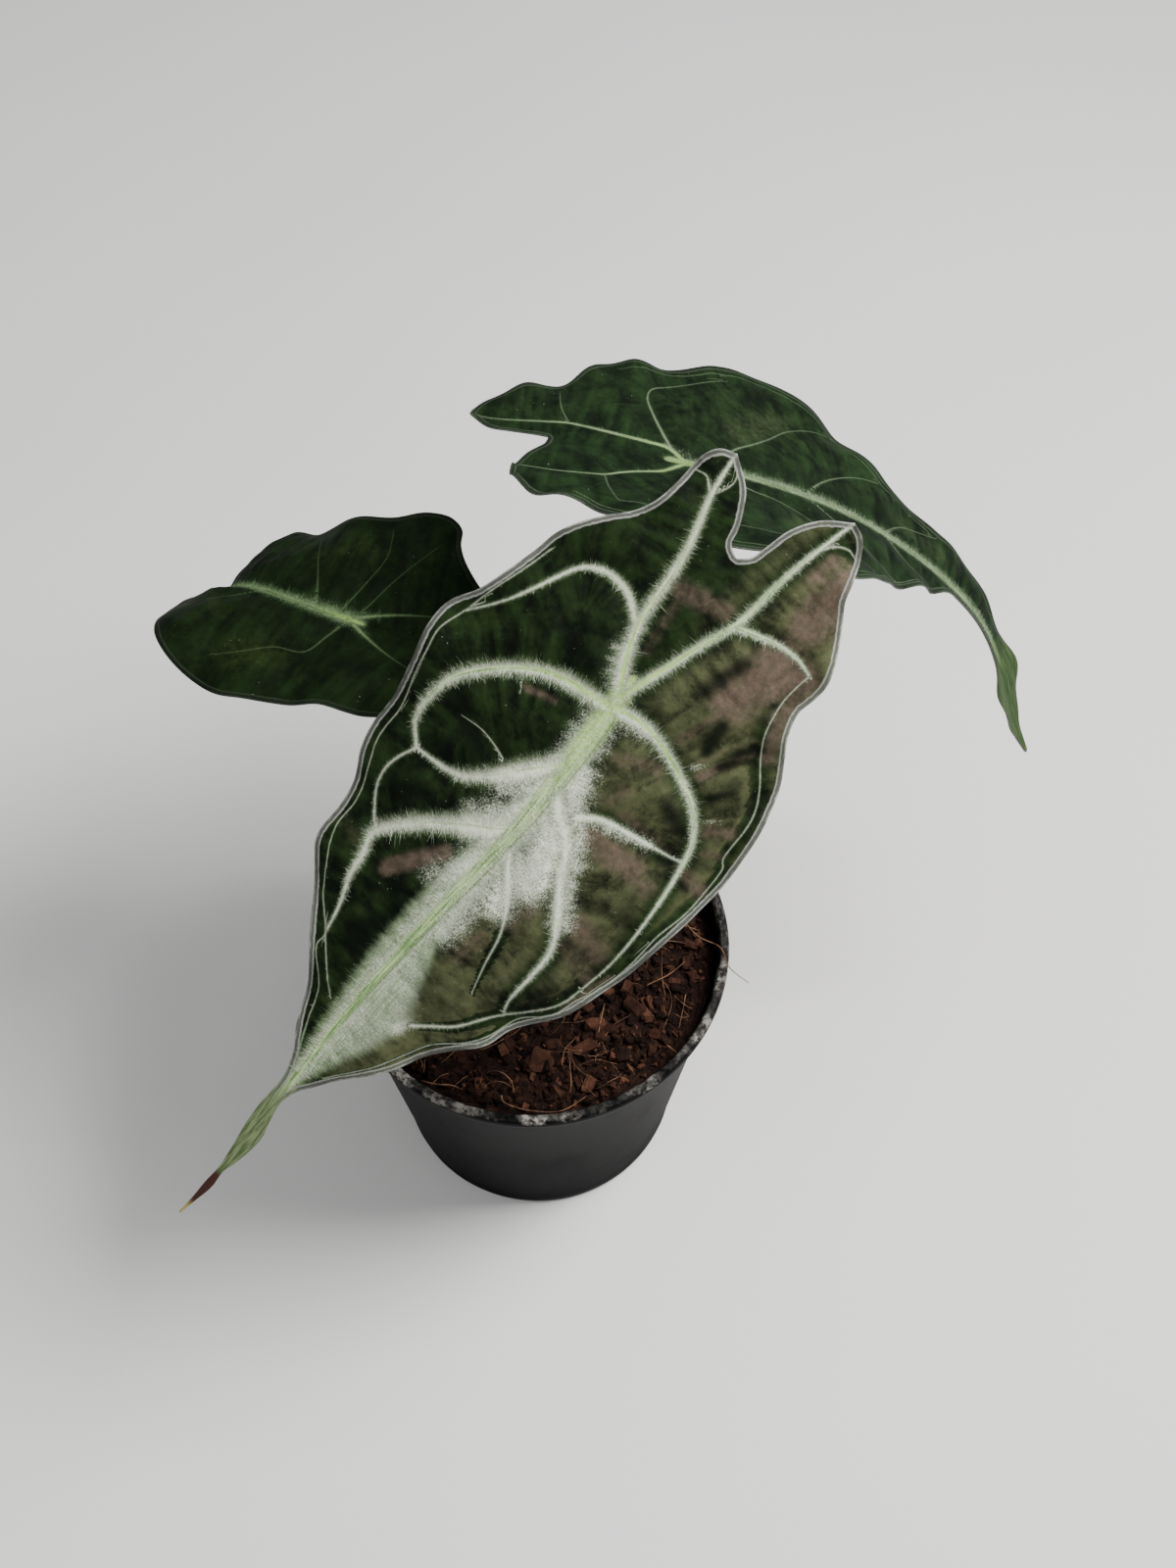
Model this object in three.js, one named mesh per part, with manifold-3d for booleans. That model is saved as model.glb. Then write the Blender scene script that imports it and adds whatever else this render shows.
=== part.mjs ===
// A velvet-leaved alocasia in a round plastic nursery pot, at its real size.
// Millimetres, +Z up, the front of the plant looks along -Y, and the origin is the middle of the pot's base.
import * as THREE from "three";
import { mergeVertices } from "three/addons/utils/BufferGeometryUtils.js";
import Module from "manifold-3d";

const wasm = await Module();
wasm.setup();

// Pot
const potHeight = 90;
const rimRadius = 52.5;
const baseRadius = 39;
const wallThickness = 1.2;
const lipWidth = 2.6;
const lipHeight = 4.4;
const floorThickness = 1.6;
const drainCount = 6;
const drainRadius = 3.6;
const drainCircle = 28;
const potSides = 56;

// Soil
const seatGap = 0.3;
const soilLevel = 85.2;
const soilRings = 13;
const soilSides = 48;
const chipCount = 46;

// Crown, the short stem that all leaf stalks grow from
const crownPlace = new THREE.Vector2(6, 10);
const crownRadius = 9;
const crownBottom = 62;
const crownTop = 99;

// Leaf stalks
const stalkFoot = 80;
const stalkBaseRadius = 2.9;
const stalkTopRadius = 1.9;
const stalkSides = 14;
const stalkSteps = 26;
const stalkEndDepth = 1.1;

// Leaf blades
const bladeThickness = 0.8;
const midribDepth = 1.3;
const midribWidth = 2.6;
const bladeColumns = 8;
const notchColumns = 4;
const wayStep = 1;
const quiltHeight = 1.1;
const quiltReach = 4.5;
const quiltRest = 0.4;
const taperEnd = 150;
const leastTaper = 0.15;
const rowsToWave = 1.9;

// Each blade is laid out flat first. Along runs down the midrib from the stalk's seat to the drip tip,
// and is negative in the two back lobes; across is positive on the leaf's right half. Size scales both.
// A way row is: along, heading, pitch, bank, fold right, fold left, curl right, curl left,
// in degrees, and for the two curls in degrees per 10 mm across.
const leaves = {
  front: {
    seat: [21.6, -1.4, 207],
    size: 1,
    wave: 0.9,
    way: [
      [-80, -141, -27, -27, -3, -5, -1.5, -1.5],
      [-30, -141, -31, -27, -1, -4, -1.5, -1.5],
      [0, -135, -34, -27, 0, -4, -1.5, -2],
      [25, -139, -36, -27, 0, -4, -1.5, -2],
      [50, -147, -38, -27, 0, -5, -1.5, -2],
      [80, -147, -40, -27, 0, -5, -1.5, -2],
      [105, -145, -42, -27, 0, -6, -1.5, -2],
      [125, -144, -45, -27, 0, -4, -1, -1],
      [155, -150, -47, -27, 0, 0, 0, 0],
      [180, -163, -49, -27, 0, 0, 0, 0],
    ],
    midrib: [
      176.8, 171, 164, 157.4, 152, 143, 136, 131, 126, 121, 115, 108, 101, 94, 87, 81, 75, 69, 62, 54, 46,
      38, 30, 22, 14, 7, 0,
    ],
    seam: [-5.5, -11, -17, -23, -29, -35, -40],
    right: {
      rim: [
        [176.9, 0.5], [170.5, 1.1], [163.5, 1.9], [157.4, 0.8], [152, 1.8], [143, 2.8], [136, 1.6],
        [131, 1.1], [126, 2.4], [121.5, 5], [115.5, 9], [109, 13.3], [102.5, 17.4], [95.5, 20.6],
        [88.5, 24.6], [82, 29], [75.5, 30.8], [69, 34], [62, 37.4], [54, 39.5], [45.5, 41.2], [36.5, 42],
        [28, 43.4], [20, 44.5], [12, 44], [4, 43.2], [-5, 41.2], [-12, 37.6], [-17, 34.9], [-23, 33.4],
        [-28.5, 34], [-33.5, 33.6], [-39.5, 31], [-45.5, 27], [-49.5, 23.8], [-54, 22.1], [-58.5, 20.2],
        [-61.9, 17.2], [-63.3, 13.6],
      ],
      rib: [
        [-5.5, 2.1], [-11.5, 4.4], [-17.5, 6.2], [-23, 7.9], [-29, 9.9], [-35, 10.4], [-41, 10.6],
        [-46, 10.9], [-50.5, 11.4], [-55, 12.2], [-59, 12.8], [-63.3, 13.6],
      ],
      notch: [[-42.6, 2.3], [-47, 3.2], [-52.5, 4.3], [-58.6, 7.8], [-63.3, 13.6]],
    },
    left: {
      rim: [
        [176.9, -0.5], [170.5, -1], [163.5, -1.5], [157.4, -0.8], [152, -1.3], [143, -2.4], [136, -2.8],
        [131, -2.6], [126, -2.3], [121, -3], [115, -5.2], [108, -8.8], [101.5, -12], [95.5, -16.1],
        [90, -20.6], [84.5, -25.2], [79, -29.5], [73.5, -33], [66, -34], [58.5, -35.9], [51.5, -39.2],
        [43.5, -41.2], [34, -41.4], [23, -42.5], [13, -44.2], [5.5, -43.7], [-1, -39.4], [-8, -36.4],
        [-13.5, -34.8], [-18.5, -33.6], [-23.5, -30.8], [-28.5, -27.1], [-33, -23.5], [-38, -21.3],
        [-43, -20.9], [-48, -21.2], [-52, -20.7], [-55, -18.8], [-56.6, -15.6],
      ],
      rib: [
        [-6, -3.2], [-12, -5.5], [-18, -7], [-24, -7.5], [-29.5, -8.2], [-34.5, -9.3], [-39, -10.8],
        [-43.5, -12.5], [-46.5, -13.6], [-49.5, -14.3], [-53, -15], [-56.6, -15.6],
      ],
      notch: [[-41.6, -2.9], [-44.5, -3.8], [-48, -5.6], [-52.5, -9], [-56.6, -15.6]],
    },
    veins: [
      [[-14.5, -6.3], [-19.4, -15.8], [-18, -22.6], [-7.4, -29.8], [5, -39.3]],
      [[3, -0.4], [3.9, -12], [8.8, -22.9], [19.5, -32.6], [31, -34.6], [40.9, -29.6]],
      [[19.3, -0.5], [30, -10.3], [39, -20.4], [40.9, -29.6], [51, -31.9], [63.5, -23.8]],
      [[36.6, 0], [46.5, -9.9], [63.5, -23.8], [75, -21.1], [89.5, -16.3]],
      [[-15.8, -32], [5.1, -39.5], [18, -40.9], [46, -37.8], [69, -31.2], [89.5, -16.4], [118.5, -2.2]],
      [[2.3, 0.5], [3, 13.5], [10.4, 27.8], [24.5, 34.6], [41.3, 36.3], [55.3, 35.8]],
      [[19, 0.5], [23.5, 10], [22.5, 25], [21.5, 33.5]],
      [[24, 0], [33, 10.7], [46, 19.9], [61, 25.4], [74, 27]],
      [[40, 0], [52.2, 9.7], [67, 15.9], [75, 18.4]],
      [[91.2, 12.2], [76, 25.6], [55.3, 35.8]],
      [[-28.7, 10], [-32.2, 19.7], [-31.8, 29.4], [-14.4, 30.3], [6, 40.2], [28, 41.6], [52, 39]],
      [[52, 39], [71.5, 30.4], [91.5, 19.9], [118, 5.4]],
    ],
  },
  back: {
    seat: [38.1, 66.8, 206],
    size: 1.026,
    wave: 0.8,
    way: [
      [-70, -14, 6, -20, 7, 7, -1, -1],
      [-30, -12, 0, -20, 7, 7, -1, -1],
      [0, -2, -15, -20, 7, 7, -1, -1],
      [30, -1, -27, -18, 7, 7, -1, -1],
      [60, -6, -40, -14, 5, 5, -1, -1],
      [85, -9, -49, -8, 4, 4, -1, -1],
      [105, -14, -64, -4, 0, 0, 0, 0],
      [125, -18, -73, 0, 0, 0, 0, 0],
      [155, -18, -62, 0, 0, 0, 0, 0],
    ],
    midrib: [
      151, 147, 141, 133, 126, 119, 111, 104, 97, 90, 83, 77, 71, 65, 59, 53, 47, 40, 33, 25, 18, 12, 6, 0,
    ],
    seam: [-5, -10, -15, -20, -25, -29, -32.6],
    right: {
      rim: [
        [151.2, 0.5], [147, 1.2], [141, 2.2], [134, 5.4], [127, 7.4], [120, 7.8], [111.5, 6.4],
        [104, 5.2], [97, 6.2], [91, 9.4], [84, 11.6], [77, 12.7], [70, 14.2], [64, 16.4], [58.5, 19.4],
        [52.5, 24], [47, 28.6], [41.5, 32.4], [35, 37.8], [27, 42.9], [19.5, 45.2], [12, 43.4],
        [4, 40.4], [-4, 38.3], [-10, 37.4], [-16.5, 37.6], [-22, 36.3], [-26.5, 33.2], [-30, 29],
        [-33.5, 23], [-38, 20.8], [-43, 19.2], [-47, 15.4], [-51.2, 11.4], [-53.4, 6],
      ],
      rib: [
        [-4, 4.6], [-9.5, 5.6], [-15, 6.2], [-20.5, 6.8], [-25.5, 7.3], [-30, 7.5], [-35, 6.7],
        [-40, 5.8], [-44.5, 5.1], [-49, 5], [-53.4, 6],
      ],
      notch: [[-36, 0.3], [-42, 0.4], [-47.5, 1], [-53.4, 6]],
    },
    left: {
      rim: [
        [151.2, -0.5], [147, -1.4], [141, -3], [133, -5.2], [126, -6.4], [119, -6.6], [112, -4.2],
        [104, -2], [97, -1.8], [90, -2.2], [83, -3], [77.5, -5], [72, -8.6], [66, -12.8], [60, -17],
        [54, -21.2], [48, -25.4], [42, -29.6], [35.5, -33.7], [27, -37], [18.5, -38.9], [10, -39.4],
        [2, -39], [-6, -37.6], [-12, -35.8], [-17, -33.6], [-21, -31.5], [-25, -30.6], [-28.5, -30.1],
        [-31.5, -28.8], [-34.2, -26.3], [-36, -23], [-36.8, -20.3], [-37, -18.2], [-36.8, -16],
      ],
      rib: [
        [-3, -3.6], [-6, -7], [-9, -8.6], [-12, -10], [-15, -11.9], [-18, -14.2], [-21, -15],
        [-24, -15.6], [-28, -16.3], [-32.5, -16.3], [-36.8, -16],
      ],
      notch: [[-32.6, -4.4], [-33.8, -7.6], [-35.3, -11], [-36.8, -16]],
    },
    veins: [
      [[-3.5, 4.8], [-8.8, 19.2], [-8.4, 27.7], [6.6, 35.1], [22, 39]],
      [[-29.3, 7.6], [-32.5, 12.5], [-33.9, 17]],
      [[-18.1, -14.5], [-16.8, -22.9], [-14.8, -28.1], [8, -33], [30, -30]],
      [[5, 0], [13.1, 9.7], [23.9, 18.4], [36.1, 26.8], [44.2, 28.5]],
      [[30, 0], [38, 9], [48, 16], [58, 17]],
      [[8, 0], [13.9, -6.6], [20.4, -12], [30, -22]],
      [[30, 0], [38, -9], [48, -18]],
    ],
  },
  left: {
    seat: [-44.7, 48.8, 168],
    size: 1,
    wave: 0.7,
    way: [
      [-60, 156, 6, -2, 8, 14, -1, -1],
      [-25, 155, 1, -2, 8, 14, -2, -2],
      [-10, 154.5, -2, -2, 8, 12, -3, -3],
      [0, 154, -5, -2, 8, 10, -3, -4],
      [12, 152, -8, -2, 10, 8, -5, -5],
      [24, 150, -14, -2, 18, 3, -9, -9],
      [32, 148, -28, -2, 28, 0, -13, -11],
      [40, 145, -52, -2, 36, 4, -14, -11],
      [48, 142, -70, -2, 36, 6, -13, -10],
      [60, 136, -82, -4, 22, 4, -8, -6],
      [76, 118, -80, -6, 6, 2, -3, -3],
      [110, 95, -70, -8, 0, 0, 0, 0],
    ],
    midrib: [106, 101, 95, 88, 81, 74, 67, 60, 53.5, 47, 40.5, 34, 27.5, 21, 14, 7, 0],
    seam: [-7, -16, -26],
    right: {
      rim: [
        [106.2, 0.5], [101, 1.4], [95, 2.8], [88.5, 4.4], [82, 6.2], [75, 8.2], [68, 8.6], [61.5, 9.8],
        [55, 11.6], [48.5, 15.4], [42, 20.6], [36, 27.4], [30, 31.4], [23, 33.2], [16.3, 33.6],
        [10, 32.1], [3.5, 30.3], [-1.7, 29.1], [-7, 27], [-13, 26], [-19, 25], [-26, 22.6],
        [-33, 18.6], [-41, 10.6],
      ],
      rib: [[-4.5, 2.4], [-10, 4.8], [-15.5, 6.6], [-21, 7.9], [-27, 8.9], [-34, 9.7], [-41, 10.6]],
      notch: [[-27.6, 2.2], [-31.5, 4], [-36.5, 5.6], [-41, 10.6]],
    },
    left: {
      rim: [
        [106.2, -0.5], [101, -1.2], [95, -2.6], [88, -4.2], [81, -6], [74, -8.2], [67, -10.8],
        [60, -13.6], [53.5, -16.6], [47, -19.8], [40.5, -22.8], [34, -25.2], [27.5, -26.8],
        [21, -27.8], [14.5, -29.6], [8, -31.2], [1.5, -33], [-5, -34.8], [-11, -35.6], [-15.6, -33],
        [-18, -28], [-22, -23.5], [-30, -18], [-41.5, -12.4],
      ],
      rib: [
        [-4.5, -2.4], [-10, -4.8], [-15.5, -6.8], [-21, -8.4], [-27.5, -10], [-34.5, -11.4], [-41.5, -12.4],
      ],
      notch: [[-27.8, -2.6], [-32, -4.6], [-37, -6.8], [-41.5, -12.4]],
    },
    veins: [
      [[9.7, -0.6], [14.3, -8.5], [18.7, -15.1], [23, -22]],
      [[2.5, -0.2], [0.8, -10.5], [-0.7, -19.6], [2, -27.5]],
      [[0.3, -0.4], [-6.5, -15], [-11.9, -26.5]],
      [[4.7, 13.9], [11.9, 15.6], [18.4, 20.3], [23.9, 24.3]],
      [[26, 0], [33, 8], [40, 14]],
    ],
  },
};

// Stalk routes from the crown to the underside of the blade
const stalkRoutes = {
  front: [[6.6, 5.9, 80], [7, 7, 100], [10, 14, 130], [15, 20, 163], [20, 15, 188], [21.9, 6.7, 198.1]],
  back: [[9.9, 11.6, 80], [10.5, 13, 100], [15, 23, 128], [23, 40, 160], [31, 56, 186], [36, 65, 198.5]],
  left: [[2.1, 11.6, 80], [1, 12.5, 100], [-6, 18, 122], [-20, 29, 140], [-34, 41, 151], [-42.5, 47.5, 159]],
};

const materials = {
  plastic: new THREE.MeshStandardMaterial({ color: 0x17171a, roughness: 0.55, metalness: 0 }),
  soil: new THREE.MeshStandardMaterial({ color: 0x55362a, roughness: 0.95, metalness: 0 }),
  stem: new THREE.MeshStandardMaterial({ color: 0x8d9a62, roughness: 0.6, metalness: 0 }),
  frontLeaf: new THREE.MeshStandardMaterial({ color: 0x35492f, roughness: 0.7, metalness: 0 }),
  darkLeaf: new THREE.MeshStandardMaterial({ color: 0x1f3320, roughness: 0.7, metalness: 0 }),
};

// Helpers: solids

const toRadians = THREE.MathUtils.degToRad;

function positionsOnly(geometry) {
  geometry.deleteAttribute("normal");
  geometry.deleteAttribute("uv");
  return mergeVertices(geometry, 1e-4);
}

function solidOf(geometry) {
  const merged = positionsOnly(geometry.clone());
  const vertProperties = new Float32Array(merged.attributes.position.array);
  const triVerts = new Uint32Array(merged.index.array);
  return new wasm.Manifold(new wasm.Mesh({ numProp: 3, vertProperties, triVerts }));
}

function geometryOf(solid) {
  const mesh = solid.getMesh();
  const geometry = new THREE.BufferGeometry();
  geometry.setAttribute("position", new THREE.BufferAttribute(mesh.vertProperties, 3));
  geometry.setIndex(new THREE.BufferAttribute(mesh.triVerts, 1));
  return geometry;
}

function turned(profile, sides) {
  const points = profile.map(([radius, height]) => new THREE.Vector2(radius, height));
  const geometry = new THREE.LatheGeometry(points, sides);
  geometry.rotateX(Math.PI / 2);
  return geometry;
}

function named(name, geometry, material) {
  geometry.computeVertexNormals();
  const mesh = new THREE.Mesh(geometry, material);
  mesh.name = name;
  return mesh;
}

// A number from 0 to 1 that looks random and is the same on every run
function chance(index, kind) {
  const value = Math.sin(index * 12.9898 + kind * 78.233) * 43758.5453;
  return value - Math.floor(value);
}

// Helpers: smooth reading of a table of rows, whose first column is the place to read at

function read(table, x) {
  const last = table.length - 1;
  const place = Math.min(Math.max(x, table[0][0]), table[last][0]);
  let i = 0;
  while (i < last - 1 && place >= table[i + 1][0]) i += 1;
  const slope = (k, column) => {
    const a = table[Math.max(k - 1, 0)];
    const b = table[Math.min(k + 1, last)];
    return (b[column] - a[column]) / (b[0] - a[0]);
  };
  const span = table[i + 1][0] - table[i][0];
  const u = (place - table[i][0]) / span;
  const values = [];
  for (let column = 1; column < table[0].length; column += 1) {
    const start = (2 * u ** 3 - 3 * u ** 2 + 1) * table[i][column];
    const leave = (u ** 3 - 2 * u ** 2 + u) * span * slope(i, column);
    const end = (-2 * u ** 3 + 3 * u ** 2) * table[i + 1][column];
    const arrive = (u ** 3 - u ** 2) * span * slope(i + 1, column);
    values.push(start + leave + end + arrive);
  }
  return values;
}

// Pot: a tapered wall with a rolled lip, and drain holes round a flat solid middle

function potGeometry() {
  const wallTop = potHeight - lipHeight;
  const outerTop = rimRadius - lipWidth + 0.6;
  const innerTop = outerTop - wallThickness;
  const innerBase = baseRadius - wallThickness;
  const profile = [
    [0, 0], [baseRadius - 1.4, 0], [baseRadius - 0.4, 0.4], [baseRadius, 1.4],
    [outerTop, wallTop], [rimRadius - 0.5, wallTop + 0.5], [rimRadius, wallTop + 1.4],
    [rimRadius, potHeight - 1], [rimRadius - 0.8, potHeight - 0.1], [rimRadius - 1.6, potHeight],
    [rimRadius - lipWidth + 0.2, potHeight - 0.6], [innerTop, wallTop],
    [innerBase, floorThickness + 1], [innerBase - 1, floorThickness], [0, floorThickness],
  ];
  let pot = solidOf(turned(profile, potSides));
  for (let i = 0; i < drainCount; i += 1) {
    const angle = (2 * Math.PI * i) / drainCount;
    const hole = new THREE.CylinderGeometry(drainRadius, drainRadius, 4 * floorThickness, 14);
    hole.rotateX(Math.PI / 2);
    hole.translate(drainCircle * Math.cos(angle), drainCircle * Math.sin(angle), floorThickness / 2);
    pot = pot.subtract(solidOf(hole));
  }
  return geometryOf(pot);
}

// Soil: fills the pot, with a lumpy top, coarse chips in it, and a plain hole for the crown

function potInnerRadius(height) {
  const wallTop = potHeight - lipHeight;
  const innerTop = rimRadius - lipWidth + 0.6 - wallThickness;
  const innerBase = baseRadius - wallThickness;
  return innerBase + ((innerTop - innerBase) * (height - floorThickness - 1)) / (wallTop - floorThickness - 1);
}

function soilHeight(x, y) {
  const swell = 1.1 * Math.sin(x / 13 + 0.6) * Math.cos(y / 11 - 0.4);
  const clods = 0.7 * Math.sin(x / 3.7 + y / 8.3) * Math.sin(y / 4.1 - x / 9.7 + 1.2);
  const mound = 2.2 * Math.exp(-((x - crownPlace.x) ** 2 + (y - crownPlace.y) ** 2) / 600);
  return soilLevel - 1.6 + swell + clods + mound;
}

function soilGeometry() {
  const bottom = floorThickness + seatGap;
  const bottomRadius = potInnerRadius(floorThickness + 1) - 1 - seatGap;
  const positions = [0, 0, bottom];
  const index = [];
  const vertex = (ring, side) => 1 + ring * soilSides + (side % soilSides);
  const addRing = (radiusAt, heightAt) => {
    for (let side = 0; side < soilSides; side += 1) {
      const angle = (2 * Math.PI * side) / soilSides;
      const radius = radiusAt(angle);
      const x = radius * Math.cos(angle);
      const y = radius * Math.sin(angle);
      positions.push(x, y, heightAt(x, y));
    }
  };
  addRing(() => bottomRadius, () => bottom);
  addRing(() => potInnerRadius(bottom + 1) - seatGap, () => bottom + 1);
  for (let ring = 0; ring < soilRings; ring += 1) {
    const share = 1 - ring / soilRings;
    addRing(
      () => (potInnerRadius(soilLevel - 4) - seatGap) * share,
      (x, y) => soilHeight(x, y) - (ring === 0 ? 1.2 : 0),
    );
  }
  const top = positions.length / 3;
  positions.push(0, 0, soilHeight(0, 0));
  const rings = soilRings + 2;
  for (let side = 0; side < soilSides; side += 1) {
    index.push(0, vertex(0, side + 1), vertex(0, side));
    for (let ring = 0; ring < rings - 1; ring += 1) {
      const a = vertex(ring, side);
      const b = vertex(ring, side + 1);
      const c = vertex(ring + 1, side + 1);
      const d = vertex(ring + 1, side);
      index.push(a, b, c, a, c, d);
    }
    index.push(vertex(rings - 1, side), vertex(rings - 1, side + 1), top);
  }
  const bed = new THREE.BufferGeometry();
  bed.setAttribute("position", new THREE.Float32BufferAttribute(positions, 3));
  bed.setIndex(index);

  let soil = solidOf(bed);
  for (let i = 0; i < chipCount; i += 1) {
    const chip = chipGeometry(i);
    if (chip) soil = soil.add(solidOf(chip));
  }
  return geometryOf(soil.subtract(solidOf(crownBody(seatGap))));
}

// One coarse chip of bark or coir, half sunk in the soil; none grows into the crown
function chipGeometry(i) {
  const angle = 2 * Math.PI * chance(i, 1);
  const distance = (potInnerRadius(soilLevel) - 6.5) * Math.sqrt(chance(i, 2));
  const x = distance * Math.cos(angle);
  const y = distance * Math.sin(angle);
  const length = 3.5 + 4.5 * chance(i, 3) ** 2;
  if (Math.hypot(x - crownPlace.x, y - crownPlace.y) < crownRadius + length / 2 + 1) return null;
  const width = length * (0.45 + 0.25 * chance(i, 4));
  const height = 1.6 + 1.4 * chance(i, 5);
  const chip = new THREE.BoxGeometry(length, width, height);
  chip.rotateX(0.9 * (chance(i, 6) - 0.5));
  chip.rotateY(0.9 * (chance(i, 7) - 0.5));
  chip.rotateZ(2 * Math.PI * chance(i, 8));
  chip.translate(x, y, soilHeight(x, y) + 0.35);
  return chip;
}

// Crown: a short rounded stem in the soil, with a socket for each stalk

function crownBody(grow) {
  const radius = crownRadius + grow;
  const bottom = crownBottom - grow;
  const top = crownTop + grow;
  const profile = [
    [0, bottom], [radius * 0.8, bottom], [radius * 0.95, bottom + 8], [radius, bottom + 20],
    [radius * 0.97, top - 11], [radius * 0.86, top - 5], [radius * 0.6, top - 1.4], [0, top],
  ];
  const body = turned(profile, 28);
  body.translate(crownPlace.x, crownPlace.y, 0);
  return body;
}

function crownGeometry() {
  let crown = solidOf(crownBody(0));
  for (const key of Object.keys(leaves)) crown = crown.subtract(solidOf(stalkBody(key, seatGap)));
  return geometryOf(crown);
}

// Stalks: a tapering tube from the crown to the blade's underside, cut to the blade's shape

function stalkBody(key, grow) {
  const leaf = leaves[key];
  const blade = new Blade(leaf);
  const seat = blade.place(0, 0, -stalkEndDepth);
  const route = stalkRoutes[key].map((p) => new THREE.Vector3(...p));
  route[0].z = stalkFoot - grow;
  const curve = new THREE.CatmullRomCurve3([...route, seat], false, "centripetal");
  const tube = new THREE.CylinderGeometry(1, 1, 1, stalkSides, stalkSteps);
  const spots = tube.attributes.position;
  for (let i = 0; i < spots.count; i += 1) {
    const u = spots.getY(i) + 0.5;
    const radius = THREE.MathUtils.lerp(stalkBaseRadius, stalkTopRadius, u ** 0.8) + grow;
    const tangent = curve.getTangentAt(u);
    const side = new THREE.Vector3(0, 1, 0).cross(tangent).normalize();
    const front = tangent.clone().cross(side);
    const spot = curve.getPointAt(u);
    spot.addScaledVector(front, spots.getX(i) * radius);
    spot.addScaledVector(side, spots.getZ(i) * radius);
    spots.setXYZ(i, spot.x, spot.y, spot.z);
  }
  return tube;
}

function stalkGeometry(key) {
  const blade = new Blade(leaves[key]);
  return geometryOf(solidOf(stalkBody(key, 0)).subtract(solidOf(blade.geometry(seatGap))));
}

// Blade: flat places are bent along the midrib's way in space, folded and curled across it

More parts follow.
